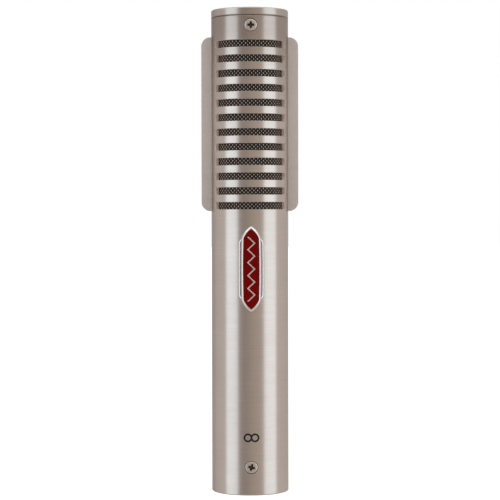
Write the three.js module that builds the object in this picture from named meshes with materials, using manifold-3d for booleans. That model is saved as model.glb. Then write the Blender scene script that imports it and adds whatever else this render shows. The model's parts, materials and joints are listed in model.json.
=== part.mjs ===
// A slim side-address ribbon microphone, in millimetres, +Z up. It stands on its base rim, whose centre is the
// origin. The address side, with the badge, faces -Y, and the two wings of the flux frame point along X.
//
// From the outside in: a slotted tube and its cap, woven screens, a flux frame that carries two magnets with
// their pole pieces, a corrugated ribbon clamped between them, an output transformer in a shielding can, and a
// three-pin connector in the base.
import * as THREE from "three";
import { mergeVertices } from "three/addons/utils/BufferGeometryUtils.js";
import Module from "manifold-3d";

const wasm = await Module();
wasm.setup();

// ---------------------------------------------------------------- driving dimensions

// Body
const TOTAL_HEIGHT = 158.8;
const BODY_RADIUS = 12.7;
const BODY_WALL = 1.25;
const BORE_RADIUS = BODY_RADIUS - BODY_WALL;
const EDGE_BREAK = 0.3; // chamfer on turned edges
const CAP_RIM = 2.5; // height of the cap that shows above the tube
const SEAM = 0.1; // joint line between cap and tube
const TUBE_TOP = TOTAL_HEIGHT - CAP_RIM - SEAM;

// Sound slots, alike in the front and the rear of the tube
const SLOT_COUNT = 12;
const SLOT_HEIGHT = 2.4;
const SLOT_PITCH = 4.79;
const SLOT_TOP = 148.3; // upper edge of the highest slot
const SLOT_HALF_ANGLE = THREE.MathUtils.degToRad(64);

// Flux frame, whose outer edges are the two wings
const FRAME_BOTTOM = 92.65;
const FRAME_TOP = 150;
const FRAME_HALF_WIDTH = 16;
const FRAME_THICKNESS = 2;
const FRAME_CORNER = 3;
const WINDOW_HALF_WIDTH = 7.2;
const WINDOW_END = 6.75; // height of the frame's bars above and below the window
const FRAME_MIDDLE = (FRAME_BOTTOM + FRAME_TOP) / 2;
const WINDOW_HALF_HEIGHT = (FRAME_TOP - FRAME_BOTTOM) / 2 - WINDOW_END;
const SIDE_SLIT_HALF_WIDTH = FRAME_THICKNESS / 2 + 0.1;

// Ribbon motor
const FIT = 0.1; // clearance between parts that are pushed together
const RIBBON_PLANE = -2.7; // the ribbon sits nearer the address side than the tube's axis
const RIBBON_WIDTH = 4.7;
const RIBBON_THICKNESS = 0.12; // a real foil is thousandths of a millimetre thick
const RIBBON_FOLDS = 44;
const RIBBON_WAVE = 0.3;
const RIBBON_END_GAP = 0.3; // between the moving foil and its clamped ends
const POLE_GAP = RIBBON_WIDTH + 0.5;
const POLE_DEPTH = 1.05;
const MAGNET_DEPTH = 6;
const MAGNET_CENTRE = -1.7;
const BLOCK_HALF_WIDTH = 7.3;
const BLOCK_HALF_HEIGHT = 2.7;
const BLOCK_THICKNESS = 1.55;
const CLAMP_HALF_WIDTH = 5.4;
const CLAMP_HALF_HEIGHT = 1.6;
const CLAMP_THICKNESS = 1.2;
const CLAMP_OFFSET = 25.05; // from the middle of the frame to the middle of each clamp
const CLAMP_SCREW_X = 4;
const BLOCK_SCREW_X = 6;

// Screens
const SCREEN_RADIUS = 11.3;
const SCREEN_THICKNESS = 0.35;
const FINE_SCREEN_RADIUS = 10.85;
const FINE_SCREEN_THICKNESS = 0.25;
const SCREEN_HALF_ANGLE = THREE.MathUtils.degToRad(78);

// Chamber floor, which closes the acoustic chamber below the flux frame
const FLOOR_TOP = FRAME_BOTTOM - 0.8;
const FLOOR_BOTTOM = FLOOR_TOP - 5;
const FLOOR_RADIUS = 11.3;
const TONGUE_HALF_WIDTH = 4;
const TONGUE_LENGTH = 3.8;
const LEAD_HOLE = { x: 7, y: -4, radius: 0.75 };

// Transformer
const CAN_RADIUS = 9.9;
const CAN_WALL = 0.8;
const CAN_BOTTOM = 42;
const CAN_TOP = 64;
const RUBBER_RADIUS = 11.4;
const RUBBER_HEIGHT = 4;
const LEAD_RADIUS = 0.45;

// Connector
const SOCKET_RADIUS = 8.05;
const SOCKET_DEPTH = 15.5;
const SHELL_RADIUS = 11.35;
const SHELL_BOTTOM = 0.3;
const SHELL_TOP = 22;
const INSERT_RADIUS = 9.6;
const INSERT_TOP = 19.8;
const PIN_RADIUS = 1.19;
const PIN_CIRCLE = 4.76;
const PIN_TIP = 2.6;
const PIN_END = 24.5;

// Body screws
const SCREW_HEAD_RADIUS = 2;
const SCREW_RADIUS = 1;
const SCREW_HEAD_DEPTH = 0.95;
const SCREW_BRIM = 0.12; // straight edge of the countersunk head
const SCREW_FACE = BODY_RADIUS - 0.1; // the head's flat face lies just below the tube's surface
const SCREW_LENGTH = 3.9;
const CAP_SCREW_Z = 152.95;
const BASE_SCREW_Z = 9.2;

// Badge
const BADGE_Z = 73.8;
const BADGE_HALF_HEIGHT = 13.9;
const BADGE_SHOULDER = 10.1; // height above the middle at which the sides turn in towards the point
const BADGE_HALF_WIDTH = 3.12; // at the shoulders
const BADGE_BOW = 0.32; // twice what the sides bow out between the shoulders
const BADGE_RIM = 0.65;
const EMBLEM_HALF_STROKE = 0.3;
const BADGE_SEAT = BODY_RADIUS + 0.05;
const BADGE_FACE = BODY_RADIUS + 0.8;
const ENAMEL_FLOOR = BODY_RADIUS + 0.35;

const ROUND = 32; // facets round the tube and what fits in it
const SMALL = 12; // facets round a screw or a pin
const FRONT = -Math.PI / 2;
const REAR = Math.PI / 2;

// ---------------------------------------------------------------- solids and shapes

// A closed geometry as a manifold solid, turned the right way out.
function solid(geometry) {
  const bare = geometry.index ? geometry.toNonIndexed() : geometry.clone();
  bare.deleteAttribute("normal");
  bare.deleteAttribute("uv");
  const merged = mergeVertices(bare, 1e-4);
  const points = merged.attributes.position.array;
  const corners = [];
  const [a, b, c] = [new THREE.Vector3(), new THREE.Vector3(), new THREE.Vector3()];
  let sixVolumes = 0;
  for (let i = 0; i < merged.index.count; i += 3) {
    const [p, q, r] = merged.index.array.slice(i, i + 3);
    if (p === q || q === r || r === p) continue;
    corners.push(p, q, r);
    a.fromArray(points, 3 * p);
    b.fromArray(points, 3 * q);
    c.fromArray(points, 3 * r);
    sixVolumes += a.dot(b.cross(c));
  }
  if (sixVolumes < 0) corners.reverse();
  const mesh = new wasm.Mesh({ numProp: 3, vertProperties: points, triVerts: new Uint32Array(corners) });
  return new wasm.Manifold(mesh);
}

const join = (...solids) => solids.reduce((whole, piece) => whole.add(piece));
const cut = (whole, ...tools) => tools.reduce((left, tool) => left.subtract(tool), whole);

function geometryOf(body) {
  const { vertProperties, triVerts } = body.getMesh();
  const geometry = new THREE.BufferGeometry();
  geometry.setAttribute("position", new THREE.BufferAttribute(new Float32Array(vertProperties), 3));
  geometry.setIndex(new THREE.BufferAttribute(new Uint32Array(triVerts), 1));
  geometry.computeVertexNormals();
  return geometry;
}

// A block between two corners.
function block([x0, y0, z0], [x1, y1, z1]) {
  const box = new THREE.BoxGeometry(Math.abs(x1 - x0), Math.abs(y1 - y0), Math.abs(z1 - z0));
  return solid(box.translate((x0 + x1) / 2, (y0 + y1) / 2, (z0 + z1) / 2));
}

// A [radius, z] outline turned about the Z axis. It starts and ends on the axis, or closes on itself.
function turned(outline, facets = ROUND) {
  const points = outline.map(([radius, z]) => new THREE.Vector2(radius, z));
  return solid(new THREE.LatheGeometry(points, facets).rotateX(Math.PI / 2));
}

// A disc or rod about Z with chamfered ends.
function rod(radius, bottom, top, facets = ROUND, chamfer = 0) {
  const outline = [
    [0, bottom],
    [radius - chamfer, bottom],
    [radius, bottom + chamfer],
    [radius, top - chamfer],
    [radius - chamfer, top],
    [0, top],
  ];
  return turned(chamfer ? outline : outline.filter((_, i) => i !== 2 && i !== 4), facets);
}

// A ring about Z with chamfered outer edges.
function ring(inner, outer, bottom, top, facets = ROUND, chamfer = 0.001) {
  return turned(
    [
      [inner, bottom],
      [outer - chamfer, bottom],
      [outer, bottom + chamfer],
      [outer, top - chamfer],
      [outer - chamfer, top],
      [inner, top],
      [inner, bottom],
    ],
    facets,
  );
}

// A flat shape drawn in X and Z, extruded through the depth y0 to y1.
function plate(shape, y0, y1) {
  const made = new THREE.ExtrudeGeometry(shape, { depth: y1 - y0, bevelEnabled: false, curveSegments: 4 });
  return solid(made.rotateX(Math.PI / 2).translate(0, y1, 0));
}

// Part of a ring about Z, centred on a direction in the XY plane.
function ringSector(inner, outer, direction, halfAngle, bottom, top, segments) {
  const shape = new THREE.Shape();
  shape.absarc(0, 0, outer, direction - halfAngle, direction + halfAngle, false);
  shape.absarc(0, 0, inner, direction + halfAngle, direction - halfAngle, true);
  const made = new THREE.ExtrudeGeometry(shape, {
    depth: top - bottom,
    bevelEnabled: false,
    curveSegments: segments,
  });
  return solid(made.translate(0, 0, bottom));
}

// Lays a solid made about Z along the radial direction that points out at this angle and height, with its
// z = 0 on the tube's axis.
function pointOut(body, direction, z) {
  return body.rotate([0, 90, THREE.MathUtils.radToDeg(direction)]).translate([0, 0, z]);
}

// Lays a solid made about Z along -Y, with its z measured towards the front.
const pointFront = (body, x, z) => body.rotate([90, 0, 0]).translate([x, 0, z]);

function roundedRectangle(halfWidth, bottom, top, corner) {
  const shape = new THREE.Shape();
  shape.absarc(halfWidth - corner, bottom + corner, corner, -Math.PI / 2, 0, false);
  shape.absarc(halfWidth - corner, top - corner, corner, 0, Math.PI / 2, false);
  shape.absarc(corner - halfWidth, top - corner, corner, Math.PI / 2, Math.PI, false);
  shape.absarc(corner - halfWidth, bottom + corner, corner, Math.PI, 1.5 * Math.PI, false);
  return shape;
}

// A wire of round section along a smooth route.
function wire(route, steps) {
  const section = new THREE.Shape().absarc(0, 0, LEAD_RADIUS, 0, 2 * Math.PI, false);
  const path = new THREE.CatmullRomCurve3(route.map((point) => new THREE.Vector3(...point)));
  return solid(new THREE.ExtrudeGeometry(section, { steps, extrudePath: path, curveSegments: 4 }));
}

// ---------------------------------------------------------------- materials

const finish = (color, roughness, metalness) => new THREE.MeshStandardMaterial({ color, roughness, metalness });
const SATIN_NICKEL = finish(0xb4aaa0, 0.35, 1);
const BLASTED_NICKEL = finish(0xa99e95, 0.6, 1);
const SCREEN_STEEL = finish(0x5e564f, 0.45, 1);
const SCREW_STEEL = finish(0xbdb5ad, 0.3, 1);
const BADGE_CHROME = finish(0xdedede, 0.15, 1);
const RED_ENAMEL = finish(0x6d0a04, 0.15, 0);
const PLATED_MAGNET = finish(0xc4c4c8, 0.2, 1);
const SOFT_IRON = finish(0x83807d, 0.5, 1);
const RIBBON_FOIL = finish(0xd6d8da, 0.3, 1);
const BRASS = finish(0xb08d4a, 0.35, 1);
const GOLD = finish(0xd9a441, 0.2, 1);
const INSULATOR = finish(0x7a5a36, 0.6, 0);
const BLACK_PLASTIC = finish(0x141414, 0.5, 0);
const RUBBER = finish(0x1d1c1b, 0.85, 0);
const SHIELD_METAL = finish(0x8f8f93, 0.45, 1);
const COPPER_WINDING = finish(0xa6552c, 0.4, 1);
const RED_WIRE = finish(0x9b1c16, 0.5, 0);
const BLACK_WIRE = finish(0x1c1c1e, 0.5, 0);
const WHITE_WIRE = finish(0xdcd8cd, 0.5, 0);
const GREEN_WIRE = finish(0x2c6b39, 0.5, 0);

const microphone = new THREE.Group();

function add(name, body, material) {
  const mesh = new THREE.Mesh(geometryOf(body), material);
  mesh.name = name;
  microphone.add(mesh);
}

// ---------------------------------------------------------------- tube, cap and body screws

// The hole that a countersunk body screw leaves through the tube's wall.
function countersink(direction, z) {
  const spare = 0.15;
  const sink = 0.05;
  const hole = turned(
    [
      [0, BORE_RADIUS - 1],
      [SCREW_RADIUS + spare, BORE_RADIUS - 1],
      [SCREW_RADIUS + spare, SCREW_FACE - SCREW_HEAD_DEPTH - sink],
      [SCREW_HEAD_RADIUS + spare, SCREW_FACE - SCREW_BRIM - sink],
      [SCREW_HEAD_RADIUS + spare, BODY_RADIUS + 1],
      [0, BODY_RADIUS + 1],
    ],
    SMALL,
  );
  return pointOut(hole, direction, z);
}

function bodyTube() {
  const bore = BORE_RADIUS;
  const outline = [
    [bore, 0],
    [BODY_RADIUS - EDGE_BREAK, 0],
    [BODY_RADIUS, EDGE_BREAK],
    [BODY_RADIUS, TUBE_TOP - EDGE_BREAK],
    [BODY_RADIUS - EDGE_BREAK, TUBE_TOP],
    [bore, TUBE_TOP],
    [bore, 0],
  ];
  const cutters = [];
  for (const side of [FRONT, REAR]) {
    for (let i = 0; i < SLOT_COUNT; i++) {
      const top = SLOT_TOP - i * SLOT_PITCH;
      cutters.push(ringSector(bore - 1, BODY_RADIUS + 1, side, SLOT_HALF_ANGLE, top - SLOT_HEIGHT, top, 6));
    }
    cutters.push(countersink(side, CAP_SCREW_Z), countersink(side, BASE_SCREW_Z));
  }
  // One cut across the tube makes both side slits, open at the top so that the flux frame drops in.
  const reach = BODY_RADIUS + 1;
  const slit = SIDE_SLIT_HALF_WIDTH;
  cutters.push(block([-reach, -slit, FRAME_BOTTOM - FIT], [reach, slit, TUBE_TOP + 1]));
  return cut(turned(outline), ...cutters);
}

const SKIRT_BOTTOM = FRAME_TOP + 0.15;
const SKIRT_RADIUS = 11.35;
const SKIRT_BORE = 8.6;

function topCap() {
  const rimBottom = TOTAL_HEIGHT - CAP_RIM;
  const lip = turned([
    [0, rimBottom - 1.2],
    [SKIRT_BORE, rimBottom - 1.2],
    [SKIRT_BORE, SKIRT_BOTTOM],
    [SKIRT_RADIUS - EDGE_BREAK, SKIRT_BOTTOM],
    [SKIRT_RADIUS, SKIRT_BOTTOM + EDGE_BREAK],
    [SKIRT_RADIUS, rimBottom],
    [BODY_RADIUS - EDGE_BREAK, rimBottom],
    [BODY_RADIUS, rimBottom + EDGE_BREAK],
    [BODY_RADIUS, TOTAL_HEIGHT - EDGE_BREAK],
    [BODY_RADIUS - EDGE_BREAK, TOTAL_HEIGHT],
    [0, TOTAL_HEIGHT],
  ]);
  // Two keys fill the side slits above the wings, flush with the tube.
  const reach = BODY_RADIUS + 1;
  const keyHalfWidth = FRAME_THICKNESS / 2;
  const across = block([-reach, -keyHalfWidth, SKIRT_BOTTOM], [reach, keyHalfWidth, rimBottom + 0.5]);
  const keys = across.intersect(ring(SKIRT_RADIUS - 0.5, BODY_RADIUS, SKIRT_BOTTOM, rimBottom + 0.5));
  const screwHole = rod(SCREW_RADIUS + 0.15, SKIRT_BORE - 1, BODY_RADIUS, SMALL);
  return cut(
    join(lip, keys),
    pointOut(screwHole, FRONT, CAP_SCREW_Z),
    pointOut(screwHole, REAR, CAP_SCREW_Z),
  );
}

// A cross-recessed countersunk screw, with its head at the tube's surface.
function bodyScrew(direction, z, turn) {
  const tip = SCREW_FACE - SCREW_LENGTH;
  const shape = turned(
    [
      [0, tip],
      [SCREW_RADIUS - 0.25, tip],
      [SCREW_RADIUS, tip + 0.25],
      [SCREW_RADIUS, SCREW_FACE - SCREW_HEAD_DEPTH],
      [SCREW_HEAD_RADIUS, SCREW_FACE - SCREW_BRIM],
      [SCREW_HEAD_RADIUS, SCREW_FACE],
      [0, SCREW_FACE],
    ],
    SMALL,
  );
  const [long, half, floor] = [1.2, 0.28, SCREW_FACE - 0.8];
  const cross = join(
    block([-long, -half, floor], [long, half, BODY_RADIUS]),
    block([-half, -long, floor], [half, long, BODY_RADIUS]),
  );
  return pointOut(cut(shape, cross.rotate([0, 0, turn])), direction, z);
}

add("body_tube", bodyTube(), SATIN_NICKEL);
add("top_cap", topCap(), SATIN_NICKEL);
add("cap_screw_front", bodyScrew(FRONT, CAP_SCREW_Z, 0), SCREW_STEEL);
add("cap_screw_rear", bodyScrew(REAR, CAP_SCREW_Z, 35), SCREW_STEEL);
add("base_screw_front", bodyScrew(FRONT, BASE_SCREW_Z, 14), SCREW_STEEL);
add("base_screw_rear", bodyScrew(REAR, BASE_SCREW_Z, 70), SCREW_STEEL);

// ---------------------------------------------------------------- badge

// An upright shape with a point at each end and gently bowed sides, smaller than the badge by the inset.
function pointedShape(inset) {
  const tip = BADGE_HALF_HEIGHT - 1.4 * inset;
  const shoulder = BADGE_SHOULDER - 0.3 * inset;
  const narrow = BADGE_HALF_WIDTH - inset;
  const wide = narrow + BADGE_BOW;
  const arch = { x: 0.72 * narrow, z: tip - 1.3 };
  const shape = new THREE.Shape();
  shape.moveTo(0, BADGE_Z + tip);
  shape.quadraticCurveTo(-arch.x, BADGE_Z + arch.z, -narrow, BADGE_Z + shoulder);
  shape.quadraticCurveTo(-wide, BADGE_Z, -narrow, BADGE_Z - shoulder);
  shape.quadraticCurveTo(-arch.x, BADGE_Z - arch.z, 0, BADGE_Z - tip);
  shape.quadraticCurveTo(arch.x, BADGE_Z - arch.z, narrow, BADGE_Z - shoulder);
  shape.quadraticCurveTo(wide, BADGE_Z, narrow, BADGE_Z + shoulder);
  shape.quadraticCurveTo(arch.x, BADGE_Z + arch.z, 0, BADGE_Z + tip);
  return shape;
}

// The backing plate, which shows as a low ear on each side of the pointed frame.
function backingShape() {
  const [top, corner, side, bow] = [10, 8.3, 3.95, 0.1];
  const [topEdge, cornerX, cornerZ] = [2.4, 3.85, 9.8];
  const shape = new THREE.Shape();
  shape.moveTo(-topEdge, BADGE_Z + top);
  shape.quadraticCurveTo(-cornerX, BADGE_Z + cornerZ, -side, BADGE_Z + corner);
  shape.quadraticCurveTo(-side - bow, BADGE_Z, -side, BADGE_Z - corner);
  shape.quadraticCurveTo(-cornerX, BADGE_Z - cornerZ, -topEdge, BADGE_Z - top);
  shape.lineTo(topEdge, BADGE_Z - top);
  shape.quadraticCurveTo(cornerX, BADGE_Z - cornerZ, side, BADGE_Z - corner);
  shape.quadraticCurveTo(side + bow, BADGE_Z, side, BADGE_Z + corner);
  shape.quadraticCurveTo(cornerX, BADGE_Z + cornerZ, topEdge, BADGE_Z + top);
  return shape;
}

// A zigzag line down the middle of the badge, like the folds of a ribbon seen edge on.
function zigzagShape(halfStroke) {
  const [folds, pitch, swing] = [10, 2.1, 1.1];
  const side = (offset) =>
    Array.from({ length: folds + 1 }, (_, i) => [
      (i % 2 ? swing : -swing) + offset,
      BADGE_Z + (folds / 2 - i) * pitch,
    ]);
  const outline = [...side(-halfStroke), ...side(halfStroke).reverse()];
  return new THREE.Shape(outline.map(([x, z]) => new THREE.Vector2(x, z)));
}

// The part of a shape drawn on the front that lies between two radii, so that it follows the tube.
function wrapped(shape, inner, outer) {
  const through = plate(shape, -BADGE_FACE - 1, -BODY_RADIUS + 3);
  const low = BADGE_Z - BADGE_HALF_HEIGHT - 1;
  return through.intersect(ring(inner, outer, low, low + 2 * BADGE_HALF_HEIGHT + 2));
}

function badgeFrame() {
  const backing = wrapped(backingShape(), BADGE_SEAT, ENAMEL_FLOOR);
  const pointed = wrapped(pointedShape(0), BADGE_SEAT, BADGE_FACE);
  const pocket = wrapped(pointedShape(BADGE_RIM), ENAMEL_FLOOR, BADGE_FACE + 1);
  const emblem = wrapped(zigzagShape(EMBLEM_HALF_STROKE), ENAMEL_FLOOR - 0.1, BADGE_FACE - 0.05);
  return join(cut(join(backing, pointed), pocket), emblem);
}

function badgeEnamel() {
  const spare = 0.06;
  const fill = wrapped(pointedShape(BADGE_RIM + spare), ENAMEL_FLOOR + spare, BADGE_FACE - 0.15);
  return cut(fill, wrapped(zigzagShape(EMBLEM_HALF_STROKE + spare), ENAMEL_FLOOR - 1, BADGE_FACE + 1));
}

add("badge_frame", badgeFrame(), BADGE_CHROME);
add("badge_enamel", badgeEnamel(), RED_ENAMEL);

// ---------------------------------------------------------------- screens

function screen(radius, thickness, direction) {
  const inner = radius - thickness;
  return ringSector(inner, radius, direction, SCREEN_HALF_ANGLE, FLOOR_TOP + 0.3, FRAME_TOP - 0.1, 8);
}

add("outer_screen_front", screen(SCREEN_RADIUS, SCREEN_THICKNESS, FRONT), SCREEN_STEEL);
add("outer_screen_rear", screen(SCREEN_RADIUS, SCREEN_THICKNESS, REAR), SCREEN_STEEL);
add("fine_screen_front", screen(FINE_SCREEN_RADIUS, FINE_SCREEN_THICKNESS, FRONT), SCREEN_STEEL);
add("fine_screen_rear", screen(FINE_SCREEN_RADIUS, FINE_SCREEN_THICKNESS, REAR), SCREEN_STEEL);

// ---------------------------------------------------------------- flux frame, magnets and pole pieces

const CLAMP_TOP_Z = FRAME_MIDDLE + CLAMP_OFFSET;
const CLAMP_BOTTOM_Z = FRAME_MIDDLE - CLAMP_OFFSET;
const MACHINE_SCREW_HOLE = 0.8;

function fluxFrame() {
  const shape = roundedRectangle(FRAME_HALF_WIDTH, FRAME_BOTTOM, FRAME_TOP, FRAME_CORNER);
  const half = FRAME_THICKNESS / 2;
  const high = FRAME_MIDDLE + WINDOW_HALF_HEIGHT;
  const low = FRAME_MIDDLE - WINDOW_HALF_HEIGHT;
  const window = block([-WINDOW_HALF_WIDTH, -half - 1, low], [WINDOW_HALF_WIDTH, half + 1, high]);
  const tongue = block(
    [-TONGUE_HALF_WIDTH, -half, FRAME_BOTTOM - TONGUE_LENGTH],
    [TONGUE_HALF_WIDTH, half, FRAME_BOTTOM + 1],
  );
  const holes = [];
  for (const z of [CLAMP_TOP_Z, CLAMP_BOTTOM_Z]) {
    for (const x of [-BLOCK_SCREW_X, BLOCK_SCREW_X]) {
      holes.push(pointFront(rod(MACHINE_SCREW_HOLE, -half - 1, half + 1, 12), x, z));
    }
  }
  return cut(join(plate(shape, -half, half), tongue), window, ...holes);
}

const MOTOR_LOW = FRAME_MIDDLE - WINDOW_HALF_HEIGHT + FIT;
const MOTOR_HIGH = FRAME_MIDDLE + WINDOW_HALF_HEIGHT - FIT;
const POLE_BACK = POLE_GAP / 2 + POLE_DEPTH;

function magnet(side) {
  const half = MAGNET_DEPTH / 2;
  return block(
    [side * (POLE_BACK + 0.05), MAGNET_CENTRE - half, MOTOR_LOW],
    [side * (WINDOW_HALF_WIDTH - FIT), MAGNET_CENTRE + half, MOTOR_HIGH],
  );
}

// A bar whose face narrows towards the ribbon, to gather the field there.
function polePiece(side) {
  const half = MAGNET_DEPTH / 2;
  const shape = new THREE.Shape(
    [
      [POLE_BACK, MAGNET_CENTRE - half],
      [POLE_BACK, MAGNET_CENTRE + half],
      [POLE_GAP / 2, RIBBON_PLANE + 1.2],
      [POLE_GAP / 2, RIBBON_PLANE - 1.2],
    ].map(([x, y]) => new THREE.Vector2(side * x, y)),
  );
  const made = new THREE.ExtrudeGeometry(shape, { depth: MOTOR_HIGH - MOTOR_LOW, bevelEnabled: false });
  return solid(made.translate(0, 0, MOTOR_LOW));
}

add("flux_frame", fluxFrame(), BLASTED_NICKEL);
add("magnet_left", magnet(-1), PLATED_MAGNET);
add("magnet_right", magnet(1), PLATED_MAGNET);
add("pole_piece_left", polePiece(-1), SOFT_IRON);
add("pole_piece_right", polePiece(1), SOFT_IRON);

// ---------------------------------------------------------------- ribbon and its clamps

const BLOCK_FACE = -FRAME_THICKNESS / 2 - 0.05 - BLOCK_THICKNESS;
const CLAMP_BACK = RIBBON_PLANE - 0.1;
const CLAMP_FACE = CLAMP_BACK - CLAMP_THICKNESS;
const FOIL_HALF_LENGTH = CLAMP_OFFSET - BLOCK_HALF_HEIGHT - 0.1;

// The free length of the foil, folded across its width.
function ribbonFoil() {
  const half = RIBBON_THICKNESS / 2;
  const pitch = (2 * FOIL_HALF_LENGTH) / RIBBON_FOLDS;
  const line = Array.from({ length: RIBBON_FOLDS + 1 }, (_, i) => ({
    y: RIBBON_PLANE + (i % 2 ? RIBBON_WAVE : -RIBBON_WAVE),
    z: FRAME_MIDDLE - FOIL_HALF_LENGTH + i * pitch,
  }));
  const outline = [
    ...line.map(({ y, z }) => new THREE.Vector2(y - half, z)),
    ...line.reverse().map(({ y, z }) => new THREE.Vector2(y + half, z)),
  ];
  const made = new THREE.ExtrudeGeometry(new THREE.Shape(outline), { depth: RIBBON_WIDTH, bevelEnabled: false });
  made.translate(0, 0, -RIBBON_WIDTH / 2);
  // The outline is drawn as (y, z): turn its axes to match and lay the extrusion along X.
  const turn = new THREE.Matrix4().makeBasis(
    new THREE.Vector3(0, 1, 0),
    new THREE.Vector3(0, 0, 1),
    new THREE.Vector3(1, 0, 0),
  );
  return solid(made.applyMatrix4(turn));
}

function ribbonEnd(up) {
  const near = FRAME_MIDDLE + up * (FOIL_HALF_LENGTH + RIBBON_END_GAP);
  const far = FRAME_MIDDLE + up * (CLAMP_OFFSET + CLAMP_HALF_HEIGHT + 0.1);
  const half = RIBBON_THICKNESS / 2;
  return block(
    [-RIBBON_WIDTH / 2, RIBBON_PLANE - half, Math.min(near, far)],
    [RIBBON_WIDTH / 2, RIBBON_PLANE + half, Math.max(near, far)],
  );
}

function clampBlock(z) {
  const body = block(
    [-BLOCK_HALF_WIDTH, BLOCK_FACE, z - BLOCK_HALF_HEIGHT],
    [BLOCK_HALF_WIDTH, BLOCK_FACE + BLOCK_THICKNESS, z + BLOCK_HALF_HEIGHT],
  );
  const blindHole = rod(0.75, -BLOCK_FACE - 1.3, -BLOCK_FACE + 1, 12);
  const fixingHole = rod(0.75, -BLOCK_FACE - BLOCK_THICKNESS - 1, -BLOCK_FACE - 0.2, 12);
  const holes = [-1, 1].flatMap((side) => [
    pointFront(blindHole, side * CLAMP_SCREW_X, z),
    pointFront(fixingHole, side * BLOCK_SCREW_X, z),
  ]);
  return cut(body, ...holes);
}

// The brass bar that holds down an end of the ribbon, with a tab at one end for its lead.
function clampBar(z, tabSide) {
  const bar = block(
    [-CLAMP_HALF_WIDTH, CLAMP_FACE, z - CLAMP_HALF_HEIGHT],
    [CLAMP_HALF_WIDTH, CLAMP_BACK, z + CLAMP_HALF_HEIGHT],
  );
  const tab = block(
    [tabSide * (CLAMP_HALF_WIDTH - 1), CLAMP_FACE, z - CLAMP_HALF_HEIGHT / 2],
    [tabSide * (CLAMP_HALF_WIDTH + 2.2), CLAMP_BACK, z + CLAMP_HALF_HEIGHT / 2],
  );
  const hole = rod(0.8, -CLAMP_BACK - 1, -CLAMP_FACE + 1, 12);
  return cut(join(bar, tab), pointFront(hole, -CLAMP_SCREW_X, z), pointFront(hole, CLAMP_SCREW_X, z));
}

// A slotted cheese-head screw along Y. Its head sits on the face at y and points towards the front or the rear.
function machineScrew(x, y, z, length, facing) {
  const shape = turned(
    [
      [0, -length],
      [0.65, -length],
      [0.65, 0],
      [1.25, 0],
      [1.25, 0.75],
      [1.1, 0.9],
      [0, 0.9],
    ],
    12,
  );
  const slotted = cut(shape, block([-2, -0.17, 0.5], [2, 0.17, 2]).rotate([0, 0, 30 + 40 * x]));
  return slotted.rotate([facing === "front" ? 90 : -90, 0, 0]).translate([x, y, z]);
}

add("ribbon_foil", ribbonFoil(), RIBBON_FOIL);
for (const [end, z, up] of [
  ["top", CLAMP_TOP_Z, 1],
  ["bottom", CLAMP_BOTTOM_Z, -1],
]) {
  add(`ribbon_end_${end}`, ribbonEnd(up), RIBBON_FOIL);
  add(`clamp_block_${end}`, clampBlock(z), INSULATOR);
  add(`clamp_bar_${end}`, clampBar(z, up), BRASS);
  for (const [hand, side] of [
    ["left", -1],
    ["right", 1],
  ]) {
    const clampScrew = machineScrew(side * CLAMP_SCREW_X, CLAMP_FACE - 0.05, z, 2.4, "front");
    const blockScrew = machineScrew(side * BLOCK_SCREW_X, FRAME_THICKNESS / 2 + 0.05, z, 3.2, "rear");
    add(`clamp_screw_${end}_${hand}`, clampScrew, SCREW_STEEL);
    add(`block_screw_${end}_${hand}`, blockScrew, SCREW_STEEL);
  }
}

// ---------------------------------------------------------------- chamber floor

function chamberFloor() {
  const middle = (FLOOR_TOP + FLOOR_BOTTOM) / 2;
  const grooveHalf = 0.8;
  const grooveRadius = FLOOR_RADIUS - 0.9;
  const body = turned([
    [0, FLOOR_BOTTOM],
    [FLOOR_RADIUS, FLOOR_BOTTOM],
    [FLOOR_RADIUS, middle - grooveHalf],
    [grooveRadius, middle - grooveHalf],
    [grooveRadius, middle + grooveHalf],
    [FLOOR_RADIUS, middle + grooveHalf],
    [FLOOR_RADIUS, FLOOR_TOP],
    [0, FLOOR_TOP],
  ]);
  const mortise = block(
    [-TONGUE_HALF_WIDTH - FIT, -FRAME_THICKNESS / 2 - FIT, FRAME_BOTTOM - TONGUE_LENGTH - FIT],
    [TONGUE_HALF_WIDTH + FIT, FRAME_THICKNESS / 2 + FIT, FLOOR_TOP + 1],
  );
  const leadHole = rod(LEAD_HOLE.radius, FLOOR_BOTTOM - 1, FLOOR_TOP + 1, 12);
  return cut(
    body,
    mortise,
    leadHole.translate([LEAD_HOLE.x, LEAD_HOLE.y, 0]),
    leadHole.translate([-LEAD_HOLE.x, LEAD_HOLE.y, 0]),
  );
}

// A seal ring with a round section, on the middle of the chamber floor.
function sealRing() {
  const [thick, middle] = [0.48, (FLOOR_TOP + FLOOR_BOTTOM) / 2];
  const centre = FLOOR_RADIUS - 0.9 + thick + 0.03;
  const section = Array.from({ length: 7 }, (_, i) => {
    const angle = (i * Math.PI) / 3;
    return [centre + thick * Math.cos(angle), middle + thick * Math.sin(angle)];
  });
  return turned(section);
}

add("chamber_floor", chamberFloor(), BLACK_PLASTIC);
add("chamber_seal_ring", sealRing(), RUBBER);

// ---------------------------------------------------------------- transformer

function transformerCan() {
  const inner = CAN_RADIUS - CAN_WALL;
  const hole = 1.8;
  return turned(
    [
      [hole, CAN_BOTTOM],
      [CAN_RADIUS - 0.5, CAN_BOTTOM],
      [CAN_RADIUS, CAN_BOTTOM + 0.5],
      [CAN_RADIUS, CAN_TOP],
      [inner, CAN_TOP],
      [inner, CAN_BOTTOM + CAN_WALL],
      [hole, CAN_BOTTOM + CAN_WALL],
      [hole, CAN_BOTTOM],
    ],
  );
}

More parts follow.
